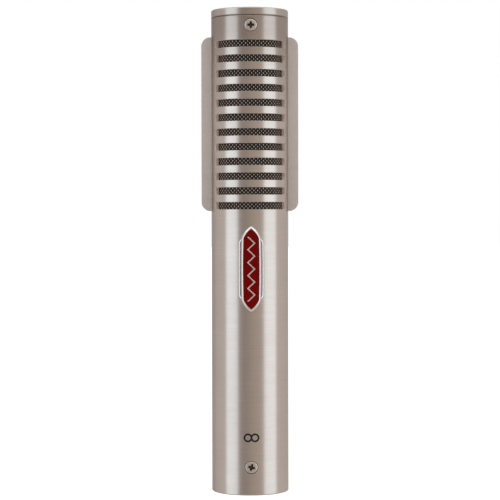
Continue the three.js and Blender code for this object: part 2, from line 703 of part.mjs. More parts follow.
function transformerLid() {
  const plugRadius = CAN_RADIUS - CAN_WALL - 0.15;
  const base = CAN_TOP + 0.05;
  const hole = 2.4;
  return turned(
    [
      [hole, base - 1.4],
      [plugRadius, base - 1.4],
      [plugRadius, base],
      [CAN_RADIUS, base],
      [CAN_RADIUS, base + 0.7],
      [CAN_RADIUS - 0.3, base + 1],
      [hole, base + 1],
      [hole, base - 1.4],
    ],
  );
}

// The wound ring core: a rounded section about the axis, with a hole for the leads.
function transformerWinding() {
  const [inner, outer, bottom, top, round] = [2.8, 8.7, CAN_BOTTOM + 2.2, CAN_TOP - 2.2, 1.6];
  const corners = [
    [outer - round, bottom + round, -Math.PI / 2],
    [outer - round, top - round, 0],
    [inner + round, top - round, Math.PI / 2],
    [inner + round, bottom + round, Math.PI],
  ];
  const outline = corners.flatMap(([r, z, start]) =>
    [0, 1, 2].map((i) => {
      const angle = start + (i * Math.PI) / 4;
      return [r + round * Math.cos(angle), z + round * Math.sin(angle)];
    }),
  );
  return turned([...outline, outline[0]], 24);
}

const rubberRing = (bottom) => ring(CAN_RADIUS + 0.06, RUBBER_RADIUS, bottom, bottom + RUBBER_HEIGHT, ROUND, 0.4);

add("transformer_can", transformerCan(), SHIELD_METAL);
add("transformer_lid", transformerLid(), SHIELD_METAL);
add("transformer_winding", transformerWinding(), COPPER_WINDING);
add("rubber_ring_upper", rubberRing(CAN_TOP - RUBBER_HEIGHT - 1), RUBBER);
add("rubber_ring_lower", rubberRing(CAN_BOTTOM + 1), RUBBER);

// ---------------------------------------------------------------- connector

function connectorShell() {
  const counterbore = INSERT_RADIUS + FIT;
  const groove = counterbore + 0.5;
  const grooveLow = INSERT_TOP + 0.3;
  const grooveHigh = grooveLow + 1.15;
  const body = turned([
    [SOCKET_RADIUS + 0.5, SHELL_BOTTOM],
    [SHELL_RADIUS - EDGE_BREAK, SHELL_BOTTOM],
    [SHELL_RADIUS, SHELL_BOTTOM + EDGE_BREAK],
    [SHELL_RADIUS, SHELL_TOP],
    [counterbore, SHELL_TOP],
    [counterbore, grooveHigh],
    [groove, grooveHigh],
    [groove, grooveLow],
    [counterbore, grooveLow],
    [counterbore, SOCKET_DEPTH],
    [SOCKET_RADIUS, SOCKET_DEPTH],
    [SOCKET_RADIUS, SHELL_BOTTOM + 0.5],
    [SOCKET_RADIUS + 0.5, SHELL_BOTTOM],
  ]);
  // The plug's latch clicks into a pocket at the rear of the socket, above it runs the polarising rib.
  const latchPocket = block([-1.8, SOCKET_RADIUS - 1, 4], [1.8, SOCKET_RADIUS + 1.2, 8]);
  const rib = block([-0.8, SOCKET_RADIUS - 0.8, 10], [0.8, SOCKET_RADIUS + 0.5, SOCKET_DEPTH - FIT]);
  const screwHole = rod(SCREW_RADIUS + 0.15, SOCKET_RADIUS + 0.45, BODY_RADIUS, SMALL);
  return cut(
    join(body, rib),
    latchPocket,
    pointOut(screwHole, FRONT, BASE_SCREW_Z),
    pointOut(screwHole, REAR, BASE_SCREW_Z),
  );
}

// Pins 1 and 2 lie on the X axis and pin 3 nearest the address side.
const PINS = {
  pin_1_ground: [-PIN_CIRCLE, 0],
  pin_2_hot: [PIN_CIRCLE, 0],
  pin_3_cold: [0, -PIN_CIRCLE],
};

function connectorInsert() {
  const body = rod(INSERT_RADIUS, SOCKET_DEPTH + 0.05, INSERT_TOP);
  const hole = rod(PIN_RADIUS + 0.1, SOCKET_DEPTH - 1, INSERT_TOP + 1, SMALL);
  return cut(body, ...Object.values(PINS).map(([x, y]) => hole.translate([x, y, 0])));
}

// A contact pin with a rounded tip below and a solder cup above.
function contactPin([x, y]) {
  const tip = PIN_RADIUS * 0.75;
  const cup = 0.8;
  const body = turned(
    [
      [0, PIN_TIP],
      [tip * 0.6, PIN_TIP],
      [PIN_RADIUS, PIN_TIP + tip],
      [PIN_RADIUS, PIN_END],
      [cup, PIN_END],
      [cup, PIN_END - 3],
      [0, PIN_END - 3],
    ],
    SMALL,
  );
  return body.translate([x, y, 0]);
}

// A washer under the retaining ring, with a tab that stands up through the ring's opening.
const GROUND_TAB_Y = 8.45;
function groundTag() {
  const [low, high] = [INSERT_TOP + 0.05, INSERT_TOP + 0.25];
  const washer = ring(8.4, INSERT_RADIUS - 0.05, low, high);
  return join(washer, block([-1.3, GROUND_TAB_Y, low], [1.3, GROUND_TAB_Y + 0.3, PIN_END - 0.5]));
}

function retainingRing() {
  const opening = THREE.MathUtils.degToRad(18);
  const low = INSERT_TOP + 0.35;
  return ringSector(8.6, INSERT_RADIUS + 0.5, FRONT, Math.PI - opening, low, low + 1, 16);
}

add("connector_shell", connectorShell(), SATIN_NICKEL);
add("connector_insert", connectorInsert(), BLACK_PLASTIC);
for (const [name, place] of Object.entries(PINS)) add(name, contactPin(place), GOLD);
add("ground_tag", groundTag(), SCREW_STEEL);
add("connector_retaining_ring", retainingRing(), SCREW_STEEL);

// ---------------------------------------------------------------- leads

const WIRE_STEPS = 24;
const CUP_FLOOR = PIN_END - 2.4;

// From a clamp bar's tab, down through the chamber floor and the lid, to the winding's primary.
function ribbonLead(side, tabZ) {
  const y = CLAMP_FACE - LEAD_RADIUS - 0.05;
  const hole = side * LEAD_HOLE.x;
  return [
    [side * (CLAMP_HALF_WIDTH + 0.6), y, tabZ],
    [side * (CLAMP_HALF_WIDTH + 2), y - 0.05, tabZ - 0.1],
    [side * 8.7, -4.3, tabZ - 2],
    ...(side > 0
      ? [
          [side * 8.8, -4.2, FRAME_MIDDLE + 12],
          [side * 8.8, -4.2, FRAME_MIDDLE - 12],
          [side * 8.6, -4.2, FRAME_BOTTOM + 5],
        ]
      : []),
    [hole, LEAD_HOLE.y, FLOOR_TOP],
    [hole, LEAD_HOLE.y, FLOOR_BOTTOM],
    [side * 5.4, -2.8, FLOOR_BOTTOM - 6],
    [side * 2.2, -0.6, CAN_TOP + 8],
    [side * 1.2, 0, CAN_TOP + 2],
    [side * 1.2, 0, CAN_TOP - 2.4],
  ];
}

// From the winding's secondary, out of the can, into the solder cup of a pin.
function outputLead(startX, [x, y]) {
  return [
    [startX, 0, CAN_BOTTOM + 2],
    [startX, 0, CAN_BOTTOM - 2],
    [startX + (x - startX) * 0.25, y * 0.25, CAN_BOTTOM - 7],
    [startX + (x - startX) * 0.9, y * 0.9, CAN_BOTTOM - 13],
    [x, y, PIN_END + 1.5],
    [x, y, CUP_FLOOR],
  ];
}

const groundLead = () => {
  const [x, y] = PINS.pin_1_ground;
  return [
    [x, y, CUP_FLOOR],
    [x, y, PIN_END + 1],
    [x * 0.9, y + 1.6, PIN_END + 2.8],
    [x * 0.5, y + 5.4, PIN_END + 2.4],
    [x * 0.1, GROUND_TAB_Y - LEAD_RADIUS - 0.15, PIN_END + 0.6],
    [0, GROUND_TAB_Y - LEAD_RADIUS - 0.1, PIN_END - 2],
  ];
};

add("ribbon_lead_top", wire(ribbonLead(1, CLAMP_TOP_Z), 2 * WIRE_STEPS), RED_WIRE);
add("ribbon_lead_bottom", wire(ribbonLead(-1, CLAMP_BOTTOM_Z), WIRE_STEPS), BLACK_WIRE);
add("output_lead_hot", wire(outputLead(0.8, PINS.pin_2_hot), WIRE_STEPS), WHITE_WIRE);
add("output_lead_cold", wire(outputLead(-0.8, PINS.pin_3_cold), WIRE_STEPS), BLACK_WIRE);
add("ground_lead", wire(groundLead(), WIRE_STEPS), GREEN_WIRE);

export default microphone;
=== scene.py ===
"""Looks of the ribbon microphone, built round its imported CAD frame.

Lengths are in millimetres until a mesh is made.
"""

import json
import math

import bmesh
import bpy
import numpy as np
from mathutils import Matrix, Vector

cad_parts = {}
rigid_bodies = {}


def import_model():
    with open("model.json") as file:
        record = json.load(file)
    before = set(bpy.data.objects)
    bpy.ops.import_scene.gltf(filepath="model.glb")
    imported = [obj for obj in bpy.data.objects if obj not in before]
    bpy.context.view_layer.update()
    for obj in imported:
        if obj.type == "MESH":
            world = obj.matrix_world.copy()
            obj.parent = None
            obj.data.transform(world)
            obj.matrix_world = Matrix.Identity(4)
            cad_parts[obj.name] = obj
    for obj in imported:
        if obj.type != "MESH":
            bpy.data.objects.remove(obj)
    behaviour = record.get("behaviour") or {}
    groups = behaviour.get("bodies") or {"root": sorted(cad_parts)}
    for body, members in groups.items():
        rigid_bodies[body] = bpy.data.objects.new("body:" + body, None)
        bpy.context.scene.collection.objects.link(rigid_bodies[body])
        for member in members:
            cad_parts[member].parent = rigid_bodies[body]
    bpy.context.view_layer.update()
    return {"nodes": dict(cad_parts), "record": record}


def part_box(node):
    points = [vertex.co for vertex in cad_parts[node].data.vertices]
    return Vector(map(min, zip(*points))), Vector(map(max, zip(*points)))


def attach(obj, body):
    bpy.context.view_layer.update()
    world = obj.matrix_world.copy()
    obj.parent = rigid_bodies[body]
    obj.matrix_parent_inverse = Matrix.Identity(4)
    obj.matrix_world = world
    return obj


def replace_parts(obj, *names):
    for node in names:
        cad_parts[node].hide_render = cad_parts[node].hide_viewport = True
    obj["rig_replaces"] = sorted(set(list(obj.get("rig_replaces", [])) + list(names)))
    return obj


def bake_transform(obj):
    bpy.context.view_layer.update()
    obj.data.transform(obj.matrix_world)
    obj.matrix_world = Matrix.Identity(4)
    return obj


MM = 0.001
BODY = "microphone"

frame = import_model()
NODES = frame["nodes"]


def node_box(node):
    """A CAD node's lowest and highest corner, in millimetres."""
    low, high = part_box(node)
    return low / MM, high / MM


# ---- sizes that come from the frame

TUBE_HIGH = node_box("body_tube")[1]
CAP_LOW, CAP_HIGH = node_box("top_cap")
PLATE_LOW, PLATE_HIGH = node_box("flux_frame")
SCREEN_LOW, SCREEN_HIGH = node_box("outer_screen_rear")
FINE_LOW, FINE_HIGH = node_box("fine_screen_rear")
BADGE_LOW, BADGE_HIGH = node_box("badge_frame")
SHELL_LOW, SHELL_HIGH = node_box("connector_shell")
INSERT_LOW, INSERT_HIGH = node_box("connector_insert")
FOIL_LOW, FOIL_HIGH = node_box("ribbon_foil")
CAN_LOW, CAN_HIGH = node_box("transformer_can")
WINDING_LOW, WINDING_HIGH = node_box("transformer_winding")

RADIUS = TUBE_HIGH.x
TUBE_TOP = TUBE_HIGH.z
SEAM = 0.1
FRONT = -1  # the side of the tube that faces -Y
REAR = 1

# ---- sizes that the frame doesn't hold

WALL = 1.25
BORE = RADIUS - WALL
EDGE_BREAK = 0.3
SLOT_COUNT = 12
SLOT_HEIGHT = 2.4
SLOT_PITCH = 4.79
SLOT_TOP = 148.3
SLIT_HALF = 1.1
SCREEN_RADIUS = 11.1
PLATE_BOTTOM = 92.65
PLATE_TOP = 150.0
SLIT_BOTTOM = PLATE_BOTTOM - SEAM
HEAD_RADIUS = 2.0
SCREW_RADIUS = 1.0
HEAD_CLEARANCE = 0.15
HEAD_FACE = RADIUS - 0.1
HEAD_BRIM = 0.12
HEAD_DEPTH = 0.95
SCREW_BORE = 1.15  # the radius of the holes that the outer screws turn into

COLUMNS = 120  # columns of faces round the tube
COLUMN_ANGLE = 2 * math.pi / COLUMNS
SLOT_COLUMNS = 21  # a slot reaches this many columns to each side of the middle
SLOT_HALF_ANGLE = math.radians(64)
PATCH = 4  # half the size of the square patch of faces round a screw hole
FRONT_COLUMN = 90
REAR_COLUMN = 30
TURNED_STEPS = 128  # faces round a turned piece, and round screws and pins
SMALL_STEPS = 48

# ---- node materials

MATERIALS = {}  # every material, by its name


class Nodes:
    """A node tree under construction, with short calls for what materials and the world both need."""

    def __init__(self, tree):
        self.tree = tree

    def node(self, kind, **settings):
        made = self.tree.nodes.new(kind)
        for key, value in settings.items():
            setattr(made, key, value)
        return made

    def link(self, source, target):
        self.tree.links.new(source, target)

    def ramp(self, value, low, high, start=0.3, end=0.7, curve="LINEAR"):
        """Maps a value that lies between start and end to the span from low to high."""
        made = self.node("ShaderNodeMapRange", interpolation_type=curve)
        for key, number in {"From Min": start, "From Max": end, "To Min": low, "To Max": high}.items():
            made.inputs[key].default_value = number
        self.link(value, made.inputs["Value"])
        return made.outputs["Result"]

    def math(self, operation, *values):
        made = self.node("ShaderNodeMath", operation=operation)
        for value, socket in zip(values, made.inputs):
            self.link(value, socket)
        return made.outputs["Value"]

    def axes(self, vector):
        """The three coordinates of a vector."""
        split = self.node("ShaderNodeSeparateXYZ")
        self.link(vector, split.inputs["Vector"])
        return [split.outputs[axis] for axis in "XYZ"]

    def mix(self, fraction, first, second, blend="MIX"):
        """Mixes two colours by a fraction between 0 and 1, or multiplies them with the MULTIPLY blend."""
        made = self.node("ShaderNodeMix", data_type="RGBA", blend_type=blend)
        self.link(fraction, made.inputs["Factor"])
        for socket, colour in ((made.inputs[6], first), (made.inputs[7], second)):
            if isinstance(colour, tuple):
                socket.default_value = (*colour, 1)
            else:
                self.link(colour, socket)
        return made.outputs[2]


class Look(Nodes):
    """A material under construction: its shader, and calls for the nodes that feed it. It is kept in
    MATERIALS under its name."""

    def __init__(self, name):
        MATERIALS[name] = bpy.data.materials.new(name)
        MATERIALS[name].use_nodes = True
        super().__init__(MATERIALS[name].node_tree)
        self.shader = self.tree.nodes["Principled BSDF"]
        self.places = self.node("ShaderNodeTexCoord").outputs["Object"]

    def set(self, **values):
        """Sets the shader's own sockets: base_color, roughness, metallic and so on."""
        for key, value in values.items():
            socket = self.shader.inputs[key.replace("_", " ").title().replace("Ior", "IOR")]
            socket.default_value = (*value, 1) if isinstance(value, tuple) else value
        return self

    def noise(self, scale, detail=2.0, stretch=(1, 1, 1)):
        """Noise in object space, with scale in cycles per millimetre."""
        mapping = self.node("ShaderNodeMapping")
        mapping.inputs["Scale"].default_value = [scale * s / MM for s in stretch]
        self.link(self.places, mapping.inputs["Vector"])
        noise = self.node("ShaderNodeTexNoise")
        for key, number in {"Scale": 1, "Detail": detail, "Roughness": 0.5}.items():
            noise.inputs[key].default_value = number
        self.link(mapping.outputs["Vector"], noise.inputs["Vector"])
        return noise.outputs["Fac"]

    def between(self, place, start, end):
        """Rises from 0 to 1 as a coordinate goes from start to end, in millimetres."""
        return self.ramp(place, 0, 1, start * MM, end * MM)

    def tones(self, texture, dark, light):
        """A colour that goes from dark to light with a texture."""
        return self.mix(self.ramp(texture, 0, 1), dark, light)

    def bump(self, height, depth):
        """Raises the surface by a height between 0 and 1 times a depth in millimetres."""
        made = self.node("ShaderNodeBump")
        made.inputs["Strength"].default_value = 1
        made.inputs["Distance"].default_value = depth * MM
        self.link(height, made.inputs["Height"])
        self.link(made.outputs["Normal"], self.shader.inputs["Normal"])

    def drive(self, socket, source):
        self.link(source, self.shader.inputs[socket])


NICKEL_TONES = ((0.672, 0.619, 0.567), (0.71, 0.66, 0.612), (0.60, 0.55, 0.50))
CAP_PAINTED_SHADE = 0.86  # how bright the finish of the cap and the connector's shell is beside the tube's: painted shade on the cap
TOP_PAINTED_SHADE = (0.755, 0.73, 0.715)  # painted shade: the tube's nickel grows darker between two heights, towards its top
TOP_SHADE_FROM, TOP_SHADE_TO = 138, 151
CORNER_PAINTED_SHADE = (0.44, 0.42, 0.415)  # painted shade: the tube is darker close to the middle of a wing
CORNER_FROM, CORNER_TO = 5.0, 2.4
FLANK_PAINTED_SHADE = (0.85, 0.85, 0.85)  # painted shade: and darker far to the side, high up
FLANK_FROM, FLANK_TO = 7.0, 9.5
FLANK_LOW, FLANK_HIGH = 122, 144
# painted shade: the wings are a little darker towards their foot, over this height
WING_FOOT_PAINTED_SHADE = (0.965, 0.965, 0.965)
WING_FOOT_HEIGHT = 22


def turned_nickel(name, shade=1.0, with_painted_shade=False):
    """Satin nickel with its grain round the axis, so that highlights stretch along the body."""
    dark, light, scratch = (tuple(shade * level for level in tone) for tone in NICKEL_TONES)
    look = Look(name).set(metallic=1.0, anisotropic=0.75, anisotropic_rotation=0.25)
    grain = look.noise(5.0, detail=3, stretch=(0.02, 0.02, 1))
    look.drive("Roughness", look.ramp(look.noise(2.2, 3, (0.03, 0.03, 1)), 0.28, 0.34))
    tone = look.tones(look.noise(0.12, detail=3), dark, light)
    tone = look.mix(look.ramp(grain, 0, 0.5), tone, scratch)
    # the tube's nickel takes painted shade at its top, on its flanks and beside the wings
    look.drive("Base Color", painted_shade_tone(look, tone) if with_painted_shade else tone)
    look.bump(grain, 0.006)
    tangent = look.node("ShaderNodeTangent", direction_type="RADIAL", axis="Z")
    look.drive("Tangent", tangent.outputs["Tangent"])


def painted_shade_tone(look, tone):
    """The tube's nickel with painted shade: darker towards its top, on its upper flanks and in the corners
    beside the wings.
    """
    x, y, z = look.axes(look.places)
    tone = look.mix(look.between(z, TOP_SHADE_FROM, TOP_SHADE_TO), tone, TOP_PAINTED_SHADE, "MULTIPLY")
    beside = look.between(look.math("ABSOLUTE", y), CORNER_FROM, CORNER_TO)
    above = look.between(z, PLATE_BOTTOM - 0.3, PLATE_BOTTOM)
    below = look.between(z, PLATE_TOP + 0.5, PLATE_TOP)
    corner = look.math("MULTIPLY", beside, look.math("MULTIPLY", above, below))
    tone = look.mix(corner, tone, CORNER_PAINTED_SHADE, "MULTIPLY")
    flank = look.between(look.math("ABSOLUTE", x), FLANK_FROM, FLANK_TO)
    high = look.between(z, FLANK_LOW, FLANK_HIGH)
    return look.mix(look.math("MULTIPLY", flank, high), tone, FLANK_PAINTED_SHADE, "MULTIPLY")


def blasted_nickel():
    """Nickel over a bead-blasted surface: even, soft and finely pitted, and a little darker at its foot,
    which is painted shade.
    """
    look = Look("blasted_nickel").set(metallic=1.0)
    pits = look.noise(7.0)
    look.drive("Roughness", look.ramp(look.noise(0.5, 3), 0.88, 0.96))
    tone = look.tones(pits, (0.81, 0.768, 0.732), (0.917, 0.88, 0.843))
    foot = look.between(look.axes(look.places)[2], PLATE_BOTTOM + WING_FOOT_HEIGHT, PLATE_BOTTOM)
    look.drive("Base Color", look.mix(foot, tone, WING_FOOT_PAINTED_SHADE, "MULTIPLY"))
    look.bump(pits, 0.012)


def screen_steel():
    """Woven wire: dark in the hollows of the weave, partly oxide and partly painted shade, and bright where
    the wires stand out.
    """
    look = Look("screen_steel").set(metallic=1.0)
    look.drive("Roughness", look.ramp(look.noise(4.0), 0.3, 0.45))
    flat = look.node("ShaderNodeVectorMath", operation="MULTIPLY")
    flat.inputs[1].default_value = (1, 1, 0)
    look.link(look.places, flat.inputs[0])
    radius = look.node("ShaderNodeVectorMath", operation="LENGTH")
    look.link(flat.outputs["Vector"], radius.inputs[0])
    height = look.between(radius.outputs["Value"], SCREEN_RADIUS + 0.06, SCREEN_RADIUS + 0.12)
    wear = look.tones(look.noise(2.0), (0.47, 0.417, 0.364), (0.66, 0.60, 0.545))
    # near black in the hollows: partly oxide, partly painted shade
    look.drive("Base Color", look.mix(height, (0.076, 0.063, 0.053), wear))


def red_enamel():
    """Translucent red enamel, darker where it is thick, under a clear gloss."""
    look = Look("red_enamel").set(coat_weight=0.08, coat_roughness=0.04, specular_ior_level=0.05)
    depth = look.noise(0.6, detail=3)
    look.drive("Roughness", look.ramp(depth, 0.25, 0.35))
    look.drive("Base Color", look.tones(depth, (0.168, 0.0006, 0.0002), (0.217, 0.001, 0.0004)))
    look.bump(look.noise(0.25), 0.02)


def textured(name, dark, light, gloss, scale, detail, depth, stretch=(1, 1, 1), **sockets):
    """A surface whose tone, gloss and height follow one texture. Gloss is its roughness, from and to."""
    look = Look(name).set(**sockets)
    texture = look.noise(scale, detail, stretch)
    look.drive("Roughness", look.ramp(texture, *gloss))
    look.drive("Base Color", look.tones(texture, dark, light))
    look.bump(texture, depth)


def metal(name, dark, light, roughness, scale=1.5, depth=0.006, spread=0.06):
    """A machined or plated metal whose tone and gloss vary a little."""
    gloss = (roughness - spread, roughness + spread)
    textured(name, dark, light, gloss, scale, 4, depth, metallic=1.0)


def moulded(name, dark, light, roughness, scale=3.0, depth=0.01):
    """A plastic, rubber or wire covering with a fine moulded texture."""
    gloss = (roughness - 0.07, roughness + 0.07)
    textured(name, dark, light, gloss, scale, 3, depth)


def woven_board():
    """Fabric-filled phenolic board: brown, with the weave just showing."""
    look = Look("insulator").set(roughness=0.55)
    bands = []
    for direction in "XZ":
        wave = look.node("ShaderNodeTexWave", wave_type="BANDS", bands_direction=direction)
        wave.inputs["Scale"].default_value = 0.35 / MM
        wave.inputs["Distortion"].default_value = 1.5
        look.link(look.places, wave.inputs["Vector"])
        bands.append(wave.outputs["Fac"])
    weave = look.math("MULTIPLY", *bands)
    look.drive("Base Color", look.mix(weave, (0.16, 0.075, 0.028), (0.27, 0.14, 0.06)))
    look.bump(weave, 0.01)


# the cap's nickel, darker by painted shade; the connector's shell shares it
turned_nickel("satin_nickel", shade=CAP_PAINTED_SHADE)
# the tube's nickel, with painted shade
turned_nickel("tube_nickel", with_painted_shade=True)
blasted_nickel()
screen_steel()
red_enamel()
woven_board()
metal("screw_steel", (0.70, 0.655, 0.61), (0.80, 0.755, 0.71), 0.37, scale=3.0, spread=0.05)
metal("badge_chrome", (0.84, 0.84, 0.83), (0.93, 0.93, 0.92), 0.21, depth=0.005, spread=0.05)
# the badge's sunk field: duller, and darker in part as painted shade
metal("badge_field", (0.40, 0.39, 0.38), (0.52, 0.51, 0.50), 0.5, scale=4)
# painted shade: near black for the countersinks round the tube's screws and the screws' cross recesses
metal("recess", (0.075, 0.063, 0.051), (0.20, 0.168, 0.135), 0.5, scale=2)
metal("plated_magnet", (0.55, 0.55, 0.57), (0.72, 0.72, 0.74), 0.18)
metal("soft_iron", (0.20, 0.19, 0.185), (0.30, 0.29, 0.28), 0.42, scale=4)
metal("ribbon_foil", (0.78, 0.79, 0.80), (0.90, 0.91, 0.92), 0.25, depth=0.003)
metal("brass", (0.52, 0.36, 0.13), (0.64, 0.47, 0.19), 0.32)
metal("gold", (0.80, 0.52, 0.16), (0.90, 0.62, 0.24), 0.18)
metal("shield_metal", (0.25, 0.25, 0.26), (0.36, 0.36, 0.38), 0.4, scale=0.8)
metal("copper_winding", (0.42, 0.15, 0.06), (0.58, 0.24, 0.11), 0.3, scale=2)
moulded("black_plastic", (0.010, 0.010, 0.010), (0.022, 0.022, 0.022), 0.45)
moulded("rubber", (0.012, 0.011, 0.011), (0.022, 0.021, 0.020), 0.75, depth=0.02)
moulded("print_ink", (0.002, 0.002, 0.002), (0.005, 0.005, 0.005), 0.6, scale=8, depth=0.004)
moulded("red_wire", (0.30, 0.012, 0.008), (0.38, 0.02, 0.012), 0.4)
moulded("black_wire", (0.012, 0.012, 0.013), (0.022, 0.022, 0.024), 0.4)
moulded("white_wire", (0.62, 0.60, 0.54), (0.72, 0.70, 0.64), 0.4)
moulded("green_wire", (0.02, 0.13, 0.035), (0.03, 0.18, 0.05), 0.4)
# The milled walls of the slots, and the fine screen, which is seen only through the coarse one. The fine
# screen is near black: painted shade for the dark inside seen through it.
milled = ((0.90, 0.81, 0.73), (0.98, 0.90, 0.82), (0.62, 0.75))
textured("milled_nickel", *milled, scale=4.0, detail=3, depth=0.01, stretch=(1, 1, 0.2), metallic=1.0)
screen_painted_shade = ((0.002, 0.0015, 0.001), (0.012, 0.01, 0.008), (0.7, 0.9))
textured("dark_screen", *screen_painted_shade, scale=6.0, detail=1, depth=0.03, specular_ior_level=0.1)

# ---- meshes


def placed(name, data):
    """A new object in the scene."""
    made = bpy.data.objects.new(name, data)
    bpy.context.scene.collection.objects.link(made)
    return made


def new_object(name, points, faces, merge=False):
    """A mesh object from points in millimetres, with its faces turned outwards."""
    mesh = bpy.data.meshes.new(name)
    mesh.from_pydata([tuple(float(c) * MM for c in p) for p in points], [], faces)
    work = bmesh.new()
    work.from_mesh(mesh)
    if merge:
        bmesh.ops.remove_doubles(work, verts=work.verts, dist=1e-4 * MM)
        bmesh.ops.dissolve_degenerate(work, edges=work.edges, dist=1e-4 * MM)
    bmesh.ops.recalc_face_normals(work, faces=work.faces)
    work.to_mesh(mesh)
    work.free()
    mesh.validate()
    return placed(name, mesh)


def band(near, far, count):
    """The faces between two loops of points, given the number of each loop's first point."""
    return [(near + i, near + (i + 1) % count, far + (i + 1) % count, far + i) for i in range(count)]


def lofted(name, sections, closed=False):
    """A solid through sections of equally many points. It closes on itself, or has its ends capped."""
    count, last = len(sections[0]), len(sections) - 1
    points = [point for section in sections for point in section]
    faces = []
    for k in range(len(sections) if closed else last):
        faces += band(k * count, (k + 1) % len(sections) * count, count)
    if not closed:
        faces += [tuple(range(count)), tuple(range(last * count, (last + 1) * count))]
    return new_object(name, points, faces)


def soften(piece, width, segments=2):
    """Rounds the sharp edges of a piece, by a width in millimetres, and shades the rest smooth."""
    piece.data.shade_smooth()
    bevel = piece.modifiers.new("edges", "BEVEL")
    bevel.width = width * MM
    bevel.segments = segments
    bevel.limit_method = "ANGLE"
    bevel.angle_limit = math.radians(30)
    bevel.harden_normals = True
    return piece


def dress(piece, slot, *nodes, look=None):
    """Gives a finished piece its look, which is its slot's material unless a look is given, its body and the
    CAD nodes that it stands for.
    """
    piece.data.materials.clear()
    piece.data.materials.append(MATERIALS[look or slot])
    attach(piece, BODY)
    if nodes:
        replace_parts(piece, *nodes)
    return piece


def turned(name, outline, steps=TURNED_STEPS):
    """A [radius, z] outline turned about Z. It starts and ends on the axis, or closes on itself."""
    closed = outline[0][0] > 0
    points, rings = [], []
    for radius, z in outline:
        if radius == 0:
            rings.append([len(points)] * steps)
            points.append((0, 0, z))
            continue
        rings.append([len(points) + k for k in range(steps)])
        angles = [2 * math.pi * k / steps for k in range(steps)]
        points += [(radius * math.cos(a), radius * math.sin(a), z) for a in angles]
    pairs = list(zip(rings, rings[1:] + rings[:1]))
    faces = []
    for low, high in pairs if closed else pairs[:-1]:
        for k in range(steps):
            corners = [low[k], low[(k + 1) % steps], high[(k + 1) % steps], high[k]]
            faces.append(list(dict.fromkeys(corners)))
    return new_object(name, points, faces)


def block(name, low, high):
    """A box between two corners."""
    points = [(x, y, z) for x in (low[0], high[0]) for y in (low[1], high[1]) for z in (low[2], high[2])]
    faces = [(0, 1, 3, 2), (4, 6, 7, 5), (0, 4, 5, 1), (2, 3, 7, 6), (0, 2, 6, 4), (1, 5, 7, 3)]
    return new_object(name, points, faces)


def rod(radius, bottom, top):
    """A plain rod about Z, for cutting holes."""
    return turned("rod", [(0, bottom), (radius, bottom), (radius, top), (0, top)], 32)


def screw_holes(bottom, top, z):
    """Tools for the holes that take the screws at a height, one on each side."""
    return [moved(rod(SCREW_BORE, bottom, top), outward(side, z)) for side in (FRONT, REAR)]


def combine(piece, tools, operation="DIFFERENCE"):
    """Cuts the tools out of a piece, or joins them to it, and removes the tools."""
    for tool in tools:
        step = piece.modifiers.new("combine", "BOOLEAN")
        step.operation = operation
        step.solver = "EXACT"
        step.material_mode = "TRANSFER"
        step.object = tool
    graph = bpy.context.evaluated_depsgraph_get()
    result = bpy.data.meshes.new_from_object(piece.evaluated_get(graph))
    piece.modifiers.clear()
    piece.data = result
    for tool in tools:
        bpy.data.objects.remove(tool)
    return piece


def moved(piece, matrix):
    """Moves a piece's mesh by a matrix whose offsets are in millimetres."""
    matrix = matrix.copy()
    matrix.translation *= MM
    piece.data.transform(matrix)
    return piece


def outward(side, z, turn=0.0):
    """The matrix that lays something made about Z along -Y or +Y at a height, turned about itself."""
    tilt = Matrix.Rotation(math.pi / 2 if side == FRONT else -math.pi / 2, 4, "X")
    return Matrix.Translation((0, 0, z)) @ tilt @ Matrix.Rotation(turn, 4, "Z")


# ---- tube


def tube_rows():
    """Heights of the rows of faces on the tube, from the base to the top."""
    patch_step = RADIUS * COLUMN_ANGLE
    rows = {0, EDGE_BREAK, SLIT_BOTTOM, TUBE_TOP - EDGE_BREAK, TUBE_TOP}
    for k in range(SLOT_COUNT):
        top = SLOT_TOP - k * SLOT_PITCH
        rows |= {top, top - SLOT_HEIGHT}
    for z in SCREW_HEIGHTS:
        rows |= {z + k * patch_step for k in range(-PATCH, PATCH + 1)}
    return sorted(rows)


def screw_height(node):
    low, high = node_box(node)
    return (low.z + high.z) / 2


CAP_SCREW_Z = screw_height("cap_screw_front")
BASE_SCREW_Z = screw_height("base_screw_front")
SCREW_HEIGHTS = (BASE_SCREW_Z, CAP_SCREW_Z)


def tube_point(column, z, radius):
    """A point of the grid. The columns beside a side slit run straight up its edges, and the columns at the
    ends of the slots lie at their exact angle."""
    angle = column * COLUMN_ANGLE
    for middle in (FRONT_COLUMN, REAR_COLUMN):
        if abs(column - middle) == SLOT_COLUMNS:
            angle = middle * COLUMN_ANGLE + math.copysign(SLOT_HALF_ANGLE, column - middle)
    if column % (COLUMNS // 2) in (1, COLUMNS // 2 - 1):
        y = math.copysign(SLIT_HALF, math.sin(angle))
        return (math.copysign(math.sqrt(radius**2 - y**2), math.cos(angle)), y, z)
    return (radius * math.cos(angle), radius * math.sin(angle), z)


def is_open(column, low, high):
    """Whether the cell that starts at this column, between two heights, lies in a slot or a side slit."""
    middle = (low + high) / 2
    beside_axis = column % (COLUMNS // 2) in (0, COLUMNS // 2 - 1)
    if beside_axis and middle > SLIT_BOTTOM:
        return True
    below_top = SLOT_TOP - middle
    in_slot = 0 < below_top < SLOT_COUNT * SLOT_PITCH and below_top % SLOT_PITCH < SLOT_HEIGHT
    from_middle = min(abs(column + 0.5 - centre) for centre in (FRONT_COLUMN, REAR_COLUMN))
    return in_slot and from_middle < SLOT_COLUMNS


def hole_rings():
    """The rings of a countersunk hole, from the outside in, as (radius, distance from the tube's axis). The
    first and the last lie on the tube's own outer and inner surface, and have no distance of their own."""
    wide = HEAD_RADIUS + HEAD_CLEARANCE
    narrow = SCREW_RADIUS + HEAD_CLEARANCE
    seat = HEAD_FACE - 0.05
    return [(wide, None), (wide, seat - HEAD_BRIM), (narrow, seat - HEAD_DEPTH), (narrow, None)]


